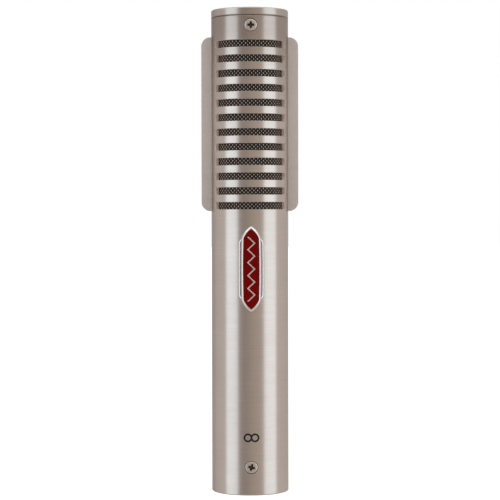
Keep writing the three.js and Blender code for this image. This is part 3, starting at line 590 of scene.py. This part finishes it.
class TubeGrid:
    """The tube as cells between columns and rows: an outer and an inner skin, walls where a slot opens, and
    square patches of cells that give way to a screw hole."""

    def __init__(self):
        self.rows = tube_rows()
        self.points, self.faces = [], []
        self.numbers = {}  # the number of each corner's point
        self.walls, self.sinks = [], []  # the numbers of the faces beside slots and in countersunk holes

    def corner(self, layer, column, row):
        key = layer, column % COLUMNS, row
        if key not in self.numbers:
            z = self.rows[row]
            outer = RADIUS - EDGE_BREAK if z in (0, TUBE_TOP) else RADIUS
            self.numbers[key] = len(self.points)
            self.points.append(tube_point(key[1], z, outer if layer == "outer" else BORE))
        return self.numbers[key]

    def skin(self, holes):
        """Both skins with their walls, without the cells of the holes' patches."""
        columns, rows = range(COLUMNS), range(len(self.rows) - 1)
        solid = {(c, r) for c in columns for r in rows if not is_open(c, self.rows[r], self.rows[r + 1])}
        square = range(2 * PATCH)
        patched = {(c + i, r + j) for c, r in holes for i in square for j in square}
        for column, row in solid:
            ring = [(column, row), (column + 1, row), (column + 1, row + 1), (column, row + 1)]
            if (column, row) not in patched:
                self.faces += [[self.corner(layer, c, r) for c, r in ring] for layer in ("outer", "inner")]
            beyond = [(column, row - 1), (column + 1, row), (column, row + 1), (column - 1, row)]
            for a, b, (c, r) in zip(ring, ring[1:] + ring[:1], beyond):
                if (c % COLUMNS, r) not in solid:
                    self.walls.append(len(self.faces))
                    outer = [self.corner("outer", *a), self.corner("outer", *b)]
                    self.faces.append(outer + [self.corner("inner", *b), self.corner("inner", *a)])

    def hole(self, side, z, column, row):
        """A countersunk hole in the patch that starts at a column and a row."""
        span = 2 * PATCH
        border = [(column + i, row) for i in range(span)]
        border += [(column + span, row + i) for i in range(span)]
        border += [(column + span - i, row + span) for i in range(span)]
        border += [(column, row + span - i) for i in range(span)]
        loops = [[self.corner("outer", c, r) for c, r in border]]
        angles = [math.atan2(self.points[i][2] - z, self.points[i][0]) for i in loops[0]]
        surfaces = iter((RADIUS, BORE))
        for radius, depth in hole_rings():
            surface = next(surfaces) if depth is None else None
            loops.append([len(self.points) + i for i in range(len(angles))])
            for angle in angles:
                x = radius * math.cos(angle)
                y = math.sqrt(surface**2 - x**2) if surface else depth
                self.points.append((x, side * y, z + radius * math.sin(angle)))
        loops.append([self.corner("inner", c, r) for c, r in border])
        for k, (near, far) in enumerate(zip(loops, loops[1:])):
            if 0 < k < len(loops) - 2:
                self.sinks += range(len(self.faces), len(self.faces) + len(angles))
            ring = [*range(1, len(angles)), 0]
            self.faces += [[near[i], near[n], far[n], far[i]] for i, n in enumerate(ring)]


def body_tube():
    grid = TubeGrid()
    holes = {}
    for z in SCREW_HEIGHTS:
        first_row = min(range(len(grid.rows)), key=lambda row: abs(grid.rows[row] - z)) - PATCH
        for side, middle in ((FRONT, FRONT_COLUMN), (REAR, REAR_COLUMN)):
            holes[side, z] = (middle - PATCH, first_row)
    grid.skin(holes.values())
    for (side, z), (column, row) in holes.items():
        grid.hole(side, z, column, row)
    tube = new_object("body_tube_fine", grid.points, grid.faces)
    dress(tube, "satin_nickel", "body_tube", look="tube_nickel")
    # the countersinks take the recess material, near black as painted shade
    cuts = {"milled_nickel": grid.walls, "recess": grid.sinks}
    for number, (look, members) in enumerate(cuts.items(), start=1):
        tube.data.materials.append(MATERIALS[look])
        for face in members:
            tube.data.polygons[face].material_index = number
    soften(tube, 0.07)


body_tube()

# ---- cap and screws


def top_cap():
    rim_bottom = TUBE_TOP + SEAM
    skirt, skirt_bore = 11.35, 8.6
    outline = [(0, rim_bottom - 1.2), (skirt_bore, rim_bottom - 1.2), (skirt_bore, CAP_LOW.z)]
    outline += [(skirt, CAP_LOW.z), (skirt, rim_bottom), (RADIUS - EDGE_BREAK, rim_bottom)]
    outline += [(RADIUS, rim_bottom + EDGE_BREAK), (RADIUS, CAP_HIGH.z - EDGE_BREAK)]
    outline += [(RADIUS - EDGE_BREAK, CAP_HIGH.z), (0, CAP_HIGH.z)]
    lip = turned("top_cap_fine", outline)
    keys = [cap_key(side, rim_bottom) for side in (-1, 1)]
    combine(lip, keys, "UNION")
    return soften(combine(lip, screw_holes(7, 13, CAP_SCREW_Z)), 0.06)


def cap_key(side, top):
    """A bar that fills a side slit above the wing, flush with the tube."""
    half, inner = 1.0, 11.0
    arc = [math.asin(half / RADIUS) * k / 3 for k in range(-3, 4)]
    outline = [(RADIUS * math.cos(a), RADIUS * math.sin(a)) for a in arc] + [(inner, half), (inner, -half)]
    return lofted("key", [[(side * x, y, z) for x, y in outline] for z in (CAP_LOW.z, top + 0.1)])


dress(top_cap(), "satin_nickel", "top_cap")


def cross_cutter(face):
    """A four-pointed recess that narrows from a screw's face to its bottom."""
    tip, tip_half, inner, depth, above = 1.2, 0.26, 0.46, 0.9, 0.2
    quarter = [(tip, -tip_half), (tip, tip_half), (inner, inner)]
    outline = []
    for turn in range(4):
        cosine, sine = [(1, 0), (0, 1), (-1, 0), (0, -1)][turn]
        outline += [(x * cosine - y * sine, x * sine + y * cosine) for x, y in quarter]
    levels = [(1 + 0.5 * above, face + above), (0.45, face - depth)]
    points = [(x * scale, y * scale, z) for scale, z in levels for x, y in outline]
    points += [(0, 0, z) for _, z in levels]
    count = len(outline)
    faces = []
    for i in range(count):
        n = (i + 1) % count
        faces += [(i, n, count + n, count + i), (2 * count, i, n), (2 * count + 1, count + i, count + n)]
    cutter = new_object("cross", points, faces)
    cutter.data.materials.append(MATERIALS["recess"])
    return cutter


def body_screw(node, side, z, turn):
    """A cross-recessed countersunk screw with its face just below the tube's surface."""
    tip = HEAD_FACE - 3.9
    crown = 0.17
    pitch, depth = 0.4, 0.12
    top = HEAD_FACE - HEAD_DEPTH - 0.2
    outline = [(0, tip), (SCREW_RADIUS - 0.3, tip)]
    for k in range(int((top - tip - 0.4) / pitch)):
        z0 = tip + 0.3 + k * pitch
        outline += [(SCREW_RADIUS - depth, z0), (SCREW_RADIUS, z0 + pitch / 2)]
    outline += [(SCREW_RADIUS - depth, top), (SCREW_RADIUS, HEAD_FACE - HEAD_DEPTH)]
    outline += [(HEAD_RADIUS, HEAD_FACE - HEAD_DEPTH / 4), (HEAD_RADIUS, HEAD_FACE - crown)]
    for inset, drop in ((0.22, 0.35), (0.5, 0.06), (0.9, 0)):
        outline.append((HEAD_RADIUS - inset, HEAD_FACE - drop * crown))
    outline.append((0, HEAD_FACE))
    screw = dress(turned(node + "_fine", outline, SMALL_STEPS), "screw_steel", node)
    combine(screw, [cross_cutter(HEAD_FACE)])
    soften(moved(screw, outward(side, z, turn)), 0.04)


body_screw("cap_screw_front", FRONT, CAP_SCREW_Z, 0)
body_screw("cap_screw_rear", REAR, CAP_SCREW_Z, math.radians(35))
body_screw("base_screw_front", FRONT, BASE_SCREW_Z, math.radians(-14))
body_screw("base_screw_rear", REAR, BASE_SCREW_Z, math.radians(70))

# ---- flux frame, whose edges are the wings


def arc(centre, radius, start, end, steps=12):
    """Points on an arc, with angles in degrees."""
    angles = [math.radians(start + (end - start) * k / steps) for k in range(steps + 1)]
    return [(centre[0] + radius * math.cos(a), centre[1] + radius * math.sin(a)) for a in angles]


def rounded(left, right, low, high, corner, steps=12):
    """A rectangle with round corners, from its lower right corner on."""
    centres = [(right - corner, low + corner), (right - corner, high - corner)]
    centres += [(left + corner, high - corner), (left + corner, low + corner)]
    return [p for k, place in enumerate(centres) for p in arc(place, corner, 90 * k - 90, 90 * k, steps)]


def flat_plate(name, outlines, y0, y1):
    """A plate between two Y. Its outlines, in X and Z, are its edge and then its holes."""
    work = bmesh.new()
    edges = []
    for outline in outlines:
        corners = [work.verts.new((x * MM, y0 * MM, z * MM)) for x, z in outline]
        edges += [work.edges.new((a, b)) for a, b in zip(corners, corners[1:] + corners[:1])]
    bmesh.ops.triangle_fill(work, use_beauty=True, edges=edges)
    raised = bmesh.ops.extrude_face_region(work, geom=work.faces[:])
    top = [item for item in raised["geom"] if isinstance(item, bmesh.types.BMVert)]
    bmesh.ops.translate(work, vec=(0, (y1 - y0) * MM, 0), verts=top)
    bmesh.ops.recalc_face_normals(work, faces=work.faces)
    mesh = bpy.data.meshes.new(name)
    work.to_mesh(mesh)
    work.free()
    return placed(name, mesh)


def flux_frame():
    """The plate with its window, four holes, and a tongue at its foot."""
    wide, low, high = PLATE_HIGH.x, PLATE_BOTTOM, PLATE_HIGH.z
    tongue_half, tongue_low = 4.0, PLATE_LOW.z
    edge = rounded(-wide, wide, low, high, 3.0)
    edge += [(-tongue_half, low), (-tongue_half, tongue_low), (tongue_half, tongue_low), (tongue_half, low)]
    bar, half_window = 6.75, 7.2
    window = rounded(-half_window, half_window, low + bar, high - bar, 0.4, 4)
    middle, reach = (low + high) / 2, 25.05
    holes = [arc((x, middle + up * reach), 0.8, 0, 345, 23) for x in (-6, 6) for up in (-1, 1)]
    return soften(flat_plate("flux_frame_fine", [edge, window, *holes], PLATE_LOW.y, PLATE_HIGH.y), 0.15, 3)


dress(flux_frame(), "blasted_nickel", "flux_frame")

# ---- screens


CLOTH_PITCH = 0.64
LEVEL_WIRE = (0.14, 0.04)  # half the width and half the thickness of a wire
UPRIGHT_WIRE = (0.215, 0.09)
LEVEL_SWING = 0.02  # how far the wires swing about the cloth's middle
UPRIGHT_SWING = 0.13
SCREEN_HALF_ANGLE = math.radians(76)
FINE_OUTER, FINE_INNER = 10.85, 10.75


def lay_wire(points, faces, radii, angles, heights, section, sideways=None):
    """Adds a wire to a mesh, along a line of points. Its section is a flat diamond, which is wide along the
    cylinder, or along sideways where that is given."""
    wide, thick = section
    count = len(angles)
    outwards = np.stack([np.cos(angles), np.sin(angles), np.zeros(count)], 1)
    if sideways is None:
        sideways = np.stack([-outwards[:, 1], outwards[:, 0], np.zeros(count)], 1)
    centre = outwards * radii[:, None]
    centre[:, 2] = heights
    out, aside = thick * outwards, wide * sideways
    first, last = len(points), len(points) + 4 * (count - 1)
    corners = [centre + out, centre + aside, centre - out, centre - aside]
    points.extend(np.stack(corners, 1).reshape(-1, 3).tolist())
    for near in range(first, last, 4):
        faces.extend(band(near, near + 4, 4))
    faces.extend([tuple(range(end, end + 4)) for end in (first, last)])


def woven_screen(node, side, radius, half_angle):
    """Plain-woven wire cloth bent to a part of a cylinder. Each wire passes over and under the wires that
    cross it. The upright wires are stouter and swing further."""
    low, high = SCREEN_LOW.z + 0.1, SCREEN_HIGH.z - 0.1
    columns = int(2 * half_angle * radius / CLOTH_PITCH)
    rows = int((high - low) / CLOTH_PITCH)
    angle_step = 2 * half_angle / columns
    row_step = (high - low) / rows
    start = math.pi / 2 * side - half_angle
    points, faces = [], []
    k = np.arange(2 * columns + 1)
    for row in range(rows + 1):
        swings = np.where(k % 2 == 1, np.where((k // 2 + row) % 2 == 0, 1.0, -1.0), 0.0)
        heights = np.full(len(k), low + row * row_step)
        radii, angles = radius + LEVEL_SWING * swings, start + k * angle_step / 2
        lay_wire(points, faces, radii, angles, heights, LEVEL_WIRE, np.array([[0.0, 0, 1]]))
    k = np.arange(2 * rows + 1)
    for column in range(columns):
        swings = np.where(k % 2 == 0, np.where((k // 2 + column) % 2 == 0, -1.0, 1.0), 0.0)
        angles = np.full(len(k), start + (column + 0.5) * angle_step)
        radii, heights = radius + UPRIGHT_SWING * swings, low + k * row_step / 2
        lay_wire(points, faces, radii, angles, heights, UPRIGHT_WIRE)
    made = new_object(node + "_woven", points, faces)
    made.data.shade_smooth()
    return made


def curved_sheet(name, side, half_angle, steps=64):
    """The fine screen: a plain sheet bent to a part of a cylinder."""
    middle = math.pi / 2 * side
    low, high = FINE_LOW.z, FINE_HIGH.z
    section = ((FINE_OUTER, low), (FINE_OUTER, high), (FINE_INNER, high), (FINE_INNER, low))
    angles = [middle - half_angle + 2 * half_angle * k / steps for k in range(steps + 1)]
    return lofted(name, [[(r * math.cos(a), r * math.sin(a), z) for r, z in section] for a in angles])


for hand, side in (("front", FRONT), ("rear", REAR)):
    cloth = woven_screen(f"outer_screen_{hand}", side, SCREEN_RADIUS, SCREEN_HALF_ANGLE)
    dress(cloth, "screen_steel", f"outer_screen_{hand}")
    sheet = curved_sheet(f"fine_screen_{hand}_sheet", side, SCREEN_HALF_ANGLE)
    dress(soften(sheet, 0.01, 1), "screen_steel", f"fine_screen_{hand}", look="dark_screen")

# ---- badge

BADGE_Z = (BADGE_LOW.z + BADGE_HIGH.z) / 2
BADGE_HALF_HEIGHT = (BADGE_HIGH.z - BADGE_LOW.z) / 2
BADGE_HALF_WIDTH = 3.12
BADGE_SHOULDER = 10.1
BADGE_BOW = 0.32
BADGE_RIM = 0.65
BADGE_SEAT = RADIUS + 0.05
BADGE_FACE = -BADGE_LOW.y


def bezier(a, control, b, steps):
    """Points on a quadratic curve, without the last one."""
    shares = [((1 - t) ** 2, 2 * t * (1 - t), t**2) for t in (k / steps for k in range(steps))]
    return [tuple(u * p + v * c + w * q for p, c, q in zip(a, control, b)) for u, v, w in shares]


def mirrored(right):
    """The whole of an outline whose left side is its right side turned by half a turn."""
    return right + [(-x, -z) for x, z in right]


def pointed_outline(inset, steps=14):
    """A shape with a point at each end and gently bowed sides, as (x, z) round the badge's middle."""
    tip = BADGE_HALF_HEIGHT - 1.4 * inset
    shoulder = BADGE_SHOULDER - 0.3 * inset
    narrow = BADGE_HALF_WIDTH - inset
    arch = (0.72 * narrow, tip - 1.3)
    right = bezier((0, tip), arch, (narrow, shoulder), steps)
    right += bezier((narrow, shoulder), (narrow + BADGE_BOW, 0), (narrow, -shoulder), 2 * steps)
    right += bezier((narrow, -shoulder), (arch[0], -arch[1]), (0, -tip), steps)
    return mirrored(right)


def ear_outline(inset, steps=14):
    """The backing plate's edge: it shows as a low ear on each side of the pointed frame."""
    top, side, corner = 10 - inset, 3.95 - inset, 8.3 - 0.6 * inset
    top_edge, knee = 2.4 - 0.4 * inset, (3.85 - inset, 9.8 - inset)
    right = bezier((top_edge, top), knee, (side, corner), steps)
    right += bezier((side, corner), (side + 0.1, 0), (side, -corner), 2 * steps)
    right += bezier((side, -corner), (knee[0], -knee[1]), (top_edge, -top), steps)
    right.append((top_edge, -top))
    return mirrored(right)


def on_front(x, z, radius):
    """A point of a badge layer, bent round the tube."""
    return (x, -math.sqrt(radius**2 - x**2), BADGE_Z + z)


def banded(name, outline_at, profile):
    """A closed band round the badge. Its profile lists how far in, and at what radius, its corners lie."""
    layers = [[on_front(x, z, radius) for x, z in outline_at(inset)] for inset, radius in profile]
    return lofted(name, layers, closed=True)


def badge_rim():
    top = BADGE_FACE
    profile = [(0, BADGE_SEAT), (0, top - 0.5), (0.04, top - 0.45), (0.3, top - 0.1), (0.42, top - 0.03)]
    profile += [(0.52, top), (0.6, top - 0.02), (BADGE_RIM, top - 0.25), (BADGE_RIM, BADGE_SEAT)]
    return soften(banded("badge_rim", pointed_outline, profile), 0.02)


def badge_plate():
    """The backing plate, with a low raised edge round its duller, recessed field, which is darker in part as
    painted shade.
    """
    sink, rise, reach = RADIUS + 0.12, RADIUS + 0.36, 1.6
    profile = [(0, BADGE_SEAT), (0, rise - 0.12), (0.08, rise - 0.03), (0.26, rise), (0.32, sink)]
    profile += [(reach, sink), (reach, BADGE_SEAT)]
    plate = banded("badge_plate", ear_outline, profile)
    dress(plate, "badge_chrome", "badge_frame")
    plate.data.materials.append(MATERIALS["badge_field"])
    count = len(ear_outline(0))
    for face in range(4 * count, 5 * count):  # from the profile's fifth corner to its sixth
        plate.data.polygons[face].material_index = 1
    return soften(plate, 0.02)


def badge_emblem():
    """A raised zigzag down the middle, like the folds of a ribbon seen edge on."""
    folds, pitch, swing, stroke = 10, 2.1, 1.1, 0.3
    line = [(swing if i % 2 else -swing, (folds / 2 - i) * pitch) for i in range(folds + 1)]
    outline = [(x - stroke, z) for x, z in line] + [(x + stroke, z) for x, z in reversed(line)]
    count = len(outline)
    points = [on_front(x, z, radius) for radius in (RADIUS + 0.3, BADGE_FACE - 0.05) for x, z in outline]
    faces = band(0, count, count)
    for level in (0, count):
        for i in range(folds):
            far = count - 1 - i
            faces.append([level + i, level + i + 1, level + far - 1, level + far])
    return soften(new_object("badge_zigzag", points, faces), 0.13, 3)


def badge_enamel(columns=12):
    """A closed fill under a slightly crowned face. Its outline is cut into equal shares of the width."""
    outline = pointed_outline(BADGE_RIM - 0.06)
    right = outline[: len(outline) // 2 + 1]
    shares = [2 * k / columns - 1 for k in range(columns + 1)]
    face = [on_front(x * s, z, BADGE_FACE - 0.2 + 0.07 * (1 - s**4)) for x, z in right for s in shares]
    back = [on_front(x * s, z, BADGE_SEAT + 0.1) for x, z in right for s in shares]
    wide, base = len(shares), len(face)
    faces = []
    for row in range(len(right) - 1):
        near = row * wide
        for k in range(near, near + columns):
            quad = [k, k + 1, k + 1 + wide, k + wide]
            faces += [quad, [i + base for i in quad]]
        faces += [[k, k + wide, k + wide + base, k + base] for k in (near, near + columns)]
    fill = new_object("badge_enamel_fine", face + back, faces, merge=True)
    fill.data.shade_smooth()
    return fill


dress(badge_rim(), "badge_chrome", "badge_frame")
badge_plate()
dress(badge_emblem(), "badge_chrome", "badge_frame")
dress(badge_enamel(), "red_enamel", "badge_enamel")

# ---- polar pattern symbol


def pattern_symbol():
    """Two touching rings printed on the barrel: the sign of a two-sided pickup pattern."""
    outer, inner, z, steps = 1.45, 0.85, 18.9, 40
    low, high = RADIUS + 0.004, RADIUS + 0.02
    points, faces = [], []
    for side in (-1, 1):
        first = len(points)
        for k in range(steps):
            angle = 2 * math.pi * k / steps
            for reach, radius in ((outer, low), (outer, high), (inner, high), (inner, low)):
                x = side * (outer - 0.3) + reach * math.cos(angle)
                points.append((x, -math.sqrt(radius**2 - x**2), z + reach * math.sin(angle)))
        for k in range(steps):
            faces += band(first + 4 * k, first + 4 * ((k + 1) % steps), 4)
    return new_object("pattern_symbol", points, faces)


dress(pattern_symbol(), "black_plastic", look="print_ink")

# ---- connector


def connector_shell():
    socket, counterbore, groove = 8.05, 9.7, 10.2
    seat, groove_low, groove_high = 15.5, 20.1, 21.25
    outer, low, high = SHELL_HIGH.x, SHELL_LOW.z, SHELL_HIGH.z
    outline = [(socket + 0.5, low), (outer - 0.3, low), (outer, low + 0.3), (outer, high)]
    outline += [(counterbore, high), (counterbore, groove_high), (groove, groove_high), (groove, groove_low)]
    outline += [(counterbore, groove_low), (counterbore, seat), (socket, seat), (socket, low + 0.5)]
    shell = turned("connector_shell_fine", outline)
    combine(shell, [block("rib", (-0.8, socket - 0.8, 10), (0.8, socket + 0.5, 15.4))], "UNION")
    cuts = [block("pocket", (-1.8, socket - 1, 4), (1.8, socket + 1.2, 8))]
    return soften(combine(shell, cuts + screw_holes(8.5, 13, BASE_SCREW_Z)), 0.08)


PIN_NODES = ("pin_1_ground", "pin_2_hot", "pin_3_cold")
PIN_RADIUS = 1.19


def pin_place(node):
    """The matrix that carries something made about Z to a pin's place, and the pin's ends."""
    low, high = node_box(node)
    middle = (low + high) / 2
    return Matrix.Translation((middle.x, middle.y, 0)), low.z, high.z


def connector_insert():
    radius = INSERT_HIGH.x
    outline = [(0, INSERT_LOW.z), (radius, INSERT_LOW.z), (radius, INSERT_HIGH.z), (0, INSERT_HIGH.z)]
    insert = turned("connector_insert_fine", outline)
    holes = []
    for node in PIN_NODES:
        place, _, _ = pin_place(node)
        holes.append(moved(rod(PIN_RADIUS + 0.1, 14, 21), place))
    return soften(combine(insert, holes), 0.08)


def contact_pin(node):
    """A round-nosed pin with a solder cup, which is cut away on the side that faces the middle."""
    place, low, high = pin_place(node)
    cup, cup_depth = 0.8, 3
    outline = [(0, low), *arc((0, low + PIN_RADIUS), PIN_RADIUS, -90, 0, 9)[1:]]
    outline += [(PIN_RADIUS, high), (cup, high), (cup, high - cup_depth), (0, high - cup_depth)]
    pin = moved(turned(node + "_fine", outline, SMALL_STEPS), place)
    slot = block("slot", (-0.55, 0.2, high - 2.2), (0.55, 2.0, high + 1))
    turn = math.atan2(-place.translation.y, -place.translation.x) - math.pi / 2
    combine(pin, [moved(slot, place @ Matrix.Rotation(turn, 4, "Z"))])
    return dress(soften(pin, 0.04), "gold", node)


dress(connector_shell(), "satin_nickel", "connector_shell")
dress(connector_insert(), "black_plastic", "connector_insert")
for pin_node in PIN_NODES:
    contact_pin(pin_node)

# ---- transformer and chamber floor


def ring_of(node, slot, inner, chamfer=0.35):
    """A plain ring in the place of a CAD ring."""
    low, high = node_box(node)
    outline = [(inner, low.z), (high.x - chamfer, low.z), (high.x, low.z + chamfer)]
    outline += [(high.x, high.z - chamfer), (high.x - chamfer, high.z), (inner, high.z)]
    return dress(soften(turned(node + "_fine", outline), 0.1), slot, node)


def winding():
    """Turns of copper wire round a toroid core, side by side."""
    inner, outer = 2.8, WINDING_HIGH.x
    low, high = WINDING_LOW.z, WINDING_HIGH.z
    section = rounded(inner, outer, low, high, 1.6, 5)
    turns, fineness = 84, 4
    steps = turns * fineness
    rings = []
    for k in range(steps):
        angle = 2 * math.pi * k / steps
        ripple = 0.09 * (1 - abs(math.sin(math.pi * k / fineness)))
        ring = []
        for radius, z in section:
            towards = Vector((radius - (inner + outer) / 2, z - (low + high) / 2)).normalized()
            r, h = radius - ripple * towards.x, z - ripple * towards.y
            ring.append((r * math.cos(angle), r * math.sin(angle), h))
        rings.append(ring)
    made = lofted("transformer_winding_fine", rings, closed=True)
    made.data.shade_smooth()
    return made


def can():
    outer, wall, hole, round_off = CAN_HIGH.x, 0.8, 1.8, 0.5
    low, high = CAN_LOW.z, CAN_HIGH.z
    outline = [(hole, low), *arc((outer - round_off, low + round_off), round_off, -90, 0, 6)]
    outline += [(outer, high), (outer - wall, high), (outer - wall, low + wall), (hole, low + wall)]
    return soften(turned("transformer_can_fine", outline), 0.08)


dress(winding(), "copper_winding", "transformer_winding")
dress(can(), "shield_metal", "transformer_can")
ring_of("rubber_ring_upper", "rubber", CAN_HIGH.x + 0.06)
ring_of("rubber_ring_lower", "rubber", CAN_HIGH.x + 0.06)

# ---- ribbon

CLAMP_TOP_Z = node_box("ribbon_end_top")[1].z
CLAMP_BOTTOM_Z = node_box("ribbon_end_bottom")[0].z


def ribbon_half(name, z_from, z_to, clamp_z):
    """Half of the foil, from the middle to one clamp: corrugated while free, flat where it is clamped."""
    plane = (FOIL_LOW.y + FOIL_HIGH.y) / 2
    pitch, wave, thick, per_fold = 2.02, 0.27, 0.04, 8
    half_width = FOIL_HIGH.x
    free = abs(clamp_z - z_from)
    steps = int(abs(z_to - z_from) / pitch * per_fold)
    sections = []
    for k in range(steps + 1):
        z = z_from + (z_to - z_from) * k / steps
        phase = (z - z_from) / pitch
        triangle = 2 * abs(2 * ((phase + 0.25) % 1) - 1) - 1
        fade = min(1.0, max(0.0, (free - abs(z - z_from)) / 0.8))
        y = plane + fade * wave * math.sin(math.pi / 2 * triangle)
        near, far = y - thick / 2, y + thick / 2
        corners = ((-half_width, near), (half_width, near), (half_width, far), (-half_width, far))
        sections.append([(x, y, z) for x, y in corners])
    made = lofted(name, sections)
    made.data.materials.append(MATERIALS["ribbon_foil"])
    return made


def ribbon():
    """The whole strip, in two halves, each from the middle to one clamp."""
    middle = (FOIL_LOW.z + FOIL_HIGH.z) / 2
    for name, edge, end, node in (
        ("ribbon_strip_upper", FOIL_HIGH.z, CLAMP_TOP_Z, "ribbon_end_top"),
        ("ribbon_strip_lower", FOIL_LOW.z, CLAMP_BOTTOM_Z, "ribbon_end_bottom"),
    ):
        half = ribbon_half(name, middle, end, edge)
        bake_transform(half)
        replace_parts(half, "ribbon_foil", node)


ribbon()

# ---- machine screws of the motor


def machine_screw(node, side, slot_turn):
    """A slotted cheese-head screw in the place of a CAD one."""
    low, high = node_box(node)
    x, z = (low.x + high.x) / 2, (low.z + high.z) / 2
    head = -low.y if side == FRONT else high.y
    length = high.y - low.y
    under = head - 0.9
    thread, cheese, chamfer = 0.65, 1.25, 0.2
    tip = head - length
    outline = [(0, tip), (thread - 0.15, tip), (thread, tip + chamfer), (thread, under), (cheese, under)]
    outline += [(cheese, head - chamfer), (cheese - chamfer, head), (0, head)]
    screw = turned(node + "_fine", outline, SMALL_STEPS)
    combine(screw, [block("slot", (-2, -0.17, head - 0.4), (2, 0.17, head + 1))])
    place = outward(side, z, slot_turn)
    place.translation.x = x
    return dress(soften(moved(screw, place), 0.04), "screw_steel", node)


for number, node in enumerate(sorted(n for n in NODES if n.startswith(("clamp_screw", "block_screw")))):
    machine_screw(node, FRONT if node.startswith("clamp") else REAR, 0.4 + 1.1 * number)

# ---- CAD nodes that stay


def keep_cad_nodes():
    """CAD nodes that nothing stands for keep their shape, with softer edges and their slot's material."""
    stood_for = {n for piece in bpy.data.objects for n in piece.get("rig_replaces", [])}
    for part in frame["record"]["subparts"]:
        node = NODES[part["node"]]
        if part["node"] in stood_for:
            continue
        node.data.materials.clear()
        node.data.materials.append(MATERIALS[part["material_slot"]])
        weld = node.modifiers.new("weld", "WELD")
        weld.merge_threshold = 0.001 * MM
        if "lead" in part["node"]:
            smooth = node.modifiers.new("smooth", "SUBSURF")
            smooth.levels = smooth.render_levels = 1
            node.data.shade_smooth()
        else:
            soften(node, 0.1)


keep_cad_nodes()

# ---- stage, light and camera

CAMERA_DISTANCE = 593
CAMERA_HEIGHT = 92.7
CAMERA_AZIMUTH = -1.7
CAMERA_PITCH = 1.252
CAMERA_ROLL = -0.105
FOCAL_LENGTH = 128.8
LIGHT_HEIGHT = 1220  # of a light box, from its lower edge to its upper one
LIGHT_MIDDLE = 240
LIGHT_DISTANCE = 800


def floor():
    """A plain white floor. Metal doesn't mirror it, and it can be seen through from below."""
    size = 4000
    corners = [(-size, -size, 0), (size, -size, 0), (size, size, 0), (-size, size, 0)]
    ground = new_object("floor", corners, [(0, 1, 2, 3)])
    look = Look("floor_white").set(base_color=(0.9, 0.9, 0.9), roughness=0.9, specular_ior_level=0.0)
    look.set(emission_color=(1.0, 1.0, 1.0), emission_strength=0.6)
    clear = look.node("ShaderNodeBsdfTransparent")
    choice = look.node("ShaderNodeMixShader")
    look.link(look.node("ShaderNodeNewGeometry").outputs["Backfacing"], choice.inputs["Fac"])
    look.link(look.shader.outputs["BSDF"], choice.inputs[1])
    look.link(clear.outputs["BSDF"], choice.inputs[2])
    look.link(choice.outputs["Shader"], look.tree.nodes["Material Output"].inputs["Surface"])
    ground.data.materials.append(MATERIALS["floor_white"])
    ground.visible_glossy = False
    ground.visible_diffuse = False
    ground.visible_shadow = False


def soft_box(name, azimuth, width, strength, colour):
    """A tall light that faces the microphone. Its azimuth is counted from the front, towards +X."""
    light = bpy.data.lights.new(name, "AREA")
    light.shape = "RECTANGLE"
    light.size = width * MM
    light.size_y = LIGHT_HEIGHT * MM
    light.energy = strength * math.pi * light.size * light.size_y
    light.color = colour
    lamp = placed(name, light)
    angle = math.radians(azimuth)
    direction = Vector((math.sin(angle), -math.cos(angle), 0))
    lamp.location = (direction * LIGHT_DISTANCE + Vector((0, 0, LIGHT_MIDDLE))) * MM
    lamp.rotation_mode = "QUATERNION"
    lamp.rotation_quaternion = direction.to_track_quat("Z", "Y")
    return lamp


def world():
    """White to the camera. To everything else, a warm studio: dim in front and behind, lighter at the
    sides, and bright overhead and underfoot."""
    made = bpy.data.worlds.new("studio")
    bpy.context.scene.world = made
    made.use_nodes = True
    made.node_tree.nodes.clear()
    sky = Nodes(made.node_tree)

    def fade(value, start, end, first, second):
        return sky.mix(sky.ramp(value, 0, 1, start, end, "SMOOTHSTEP"), first, second)

    x, y, z = sky.axes(sky.node("ShaderNodeTexCoord").outputs["Generated"])
    front = fade(x, -0.45, 0.4, (0.295, 0.243, 0.224), (0.465, 0.385, 0.33))
    back = fade(x, -0.3, 0.3, (0.43, 0.39, 0.365), (0.53, 0.48, 0.45))
    level = fade(sky.math("ABSOLUTE", x), 0.3, 1.0, front, (0.61, 0.55, 0.54))
    level = fade(y, 0.6, 0.95, level, back)
    level = fade(z, 0.35, 0.85, level, (1.0, 0.975, 0.96))
    colour = fade(z, -0.35, -0.85, level, (0.56, 0.54, 0.52))
    seen, felt = sky.node("ShaderNodeBackground"), sky.node("ShaderNodeBackground")
    seen.inputs["Color"].default_value = (1, 1, 1, 1)
    sky.link(colour, felt.inputs["Color"])
    choice = sky.node("ShaderNodeMixShader")
    sky.link(sky.node("ShaderNodeLightPath").outputs["Is Camera Ray"], choice.inputs["Fac"])
    sky.link(felt.outputs["Background"], choice.inputs[1])
    sky.link(seen.outputs["Background"], choice.inputs[2])
    sky.link(choice.outputs["Shader"], sky.node("ShaderNodeOutputWorld").inputs["Surface"])


def camera():
    lens = bpy.data.cameras.new("camera")
    lens.lens = FOCAL_LENGTH
    lens.sensor_width = 36
    eye = placed("camera", lens)
    angle = math.radians(CAMERA_AZIMUTH)
    place = Vector((math.sin(angle), -math.cos(angle), 0)) * CAMERA_DISTANCE
    place.z = CAMERA_HEIGHT
    turn = Matrix.Rotation(angle, 4, "Z")
    pitch = Matrix.Rotation(math.radians(90 - CAMERA_PITCH), 4, "X")
    roll = Matrix.Rotation(math.radians(CAMERA_ROLL), 4, "Z")
    eye.matrix_world = Matrix.Translation(place * MM) @ turn @ pitch @ roll
    lens.clip_start, lens.clip_end = 0.01, 50
    bpy.context.scene.camera = eye


floor()
world()
camera()
soft_box("box_left", -58.3, 580, 0.78, (0.721, 0.895, 1.0))
soft_box("box_right", 61.5, 618, 0.745, (0.768, 0.918, 1.0))
bpy.context.scene.view_settings.view_transform = "Standard"
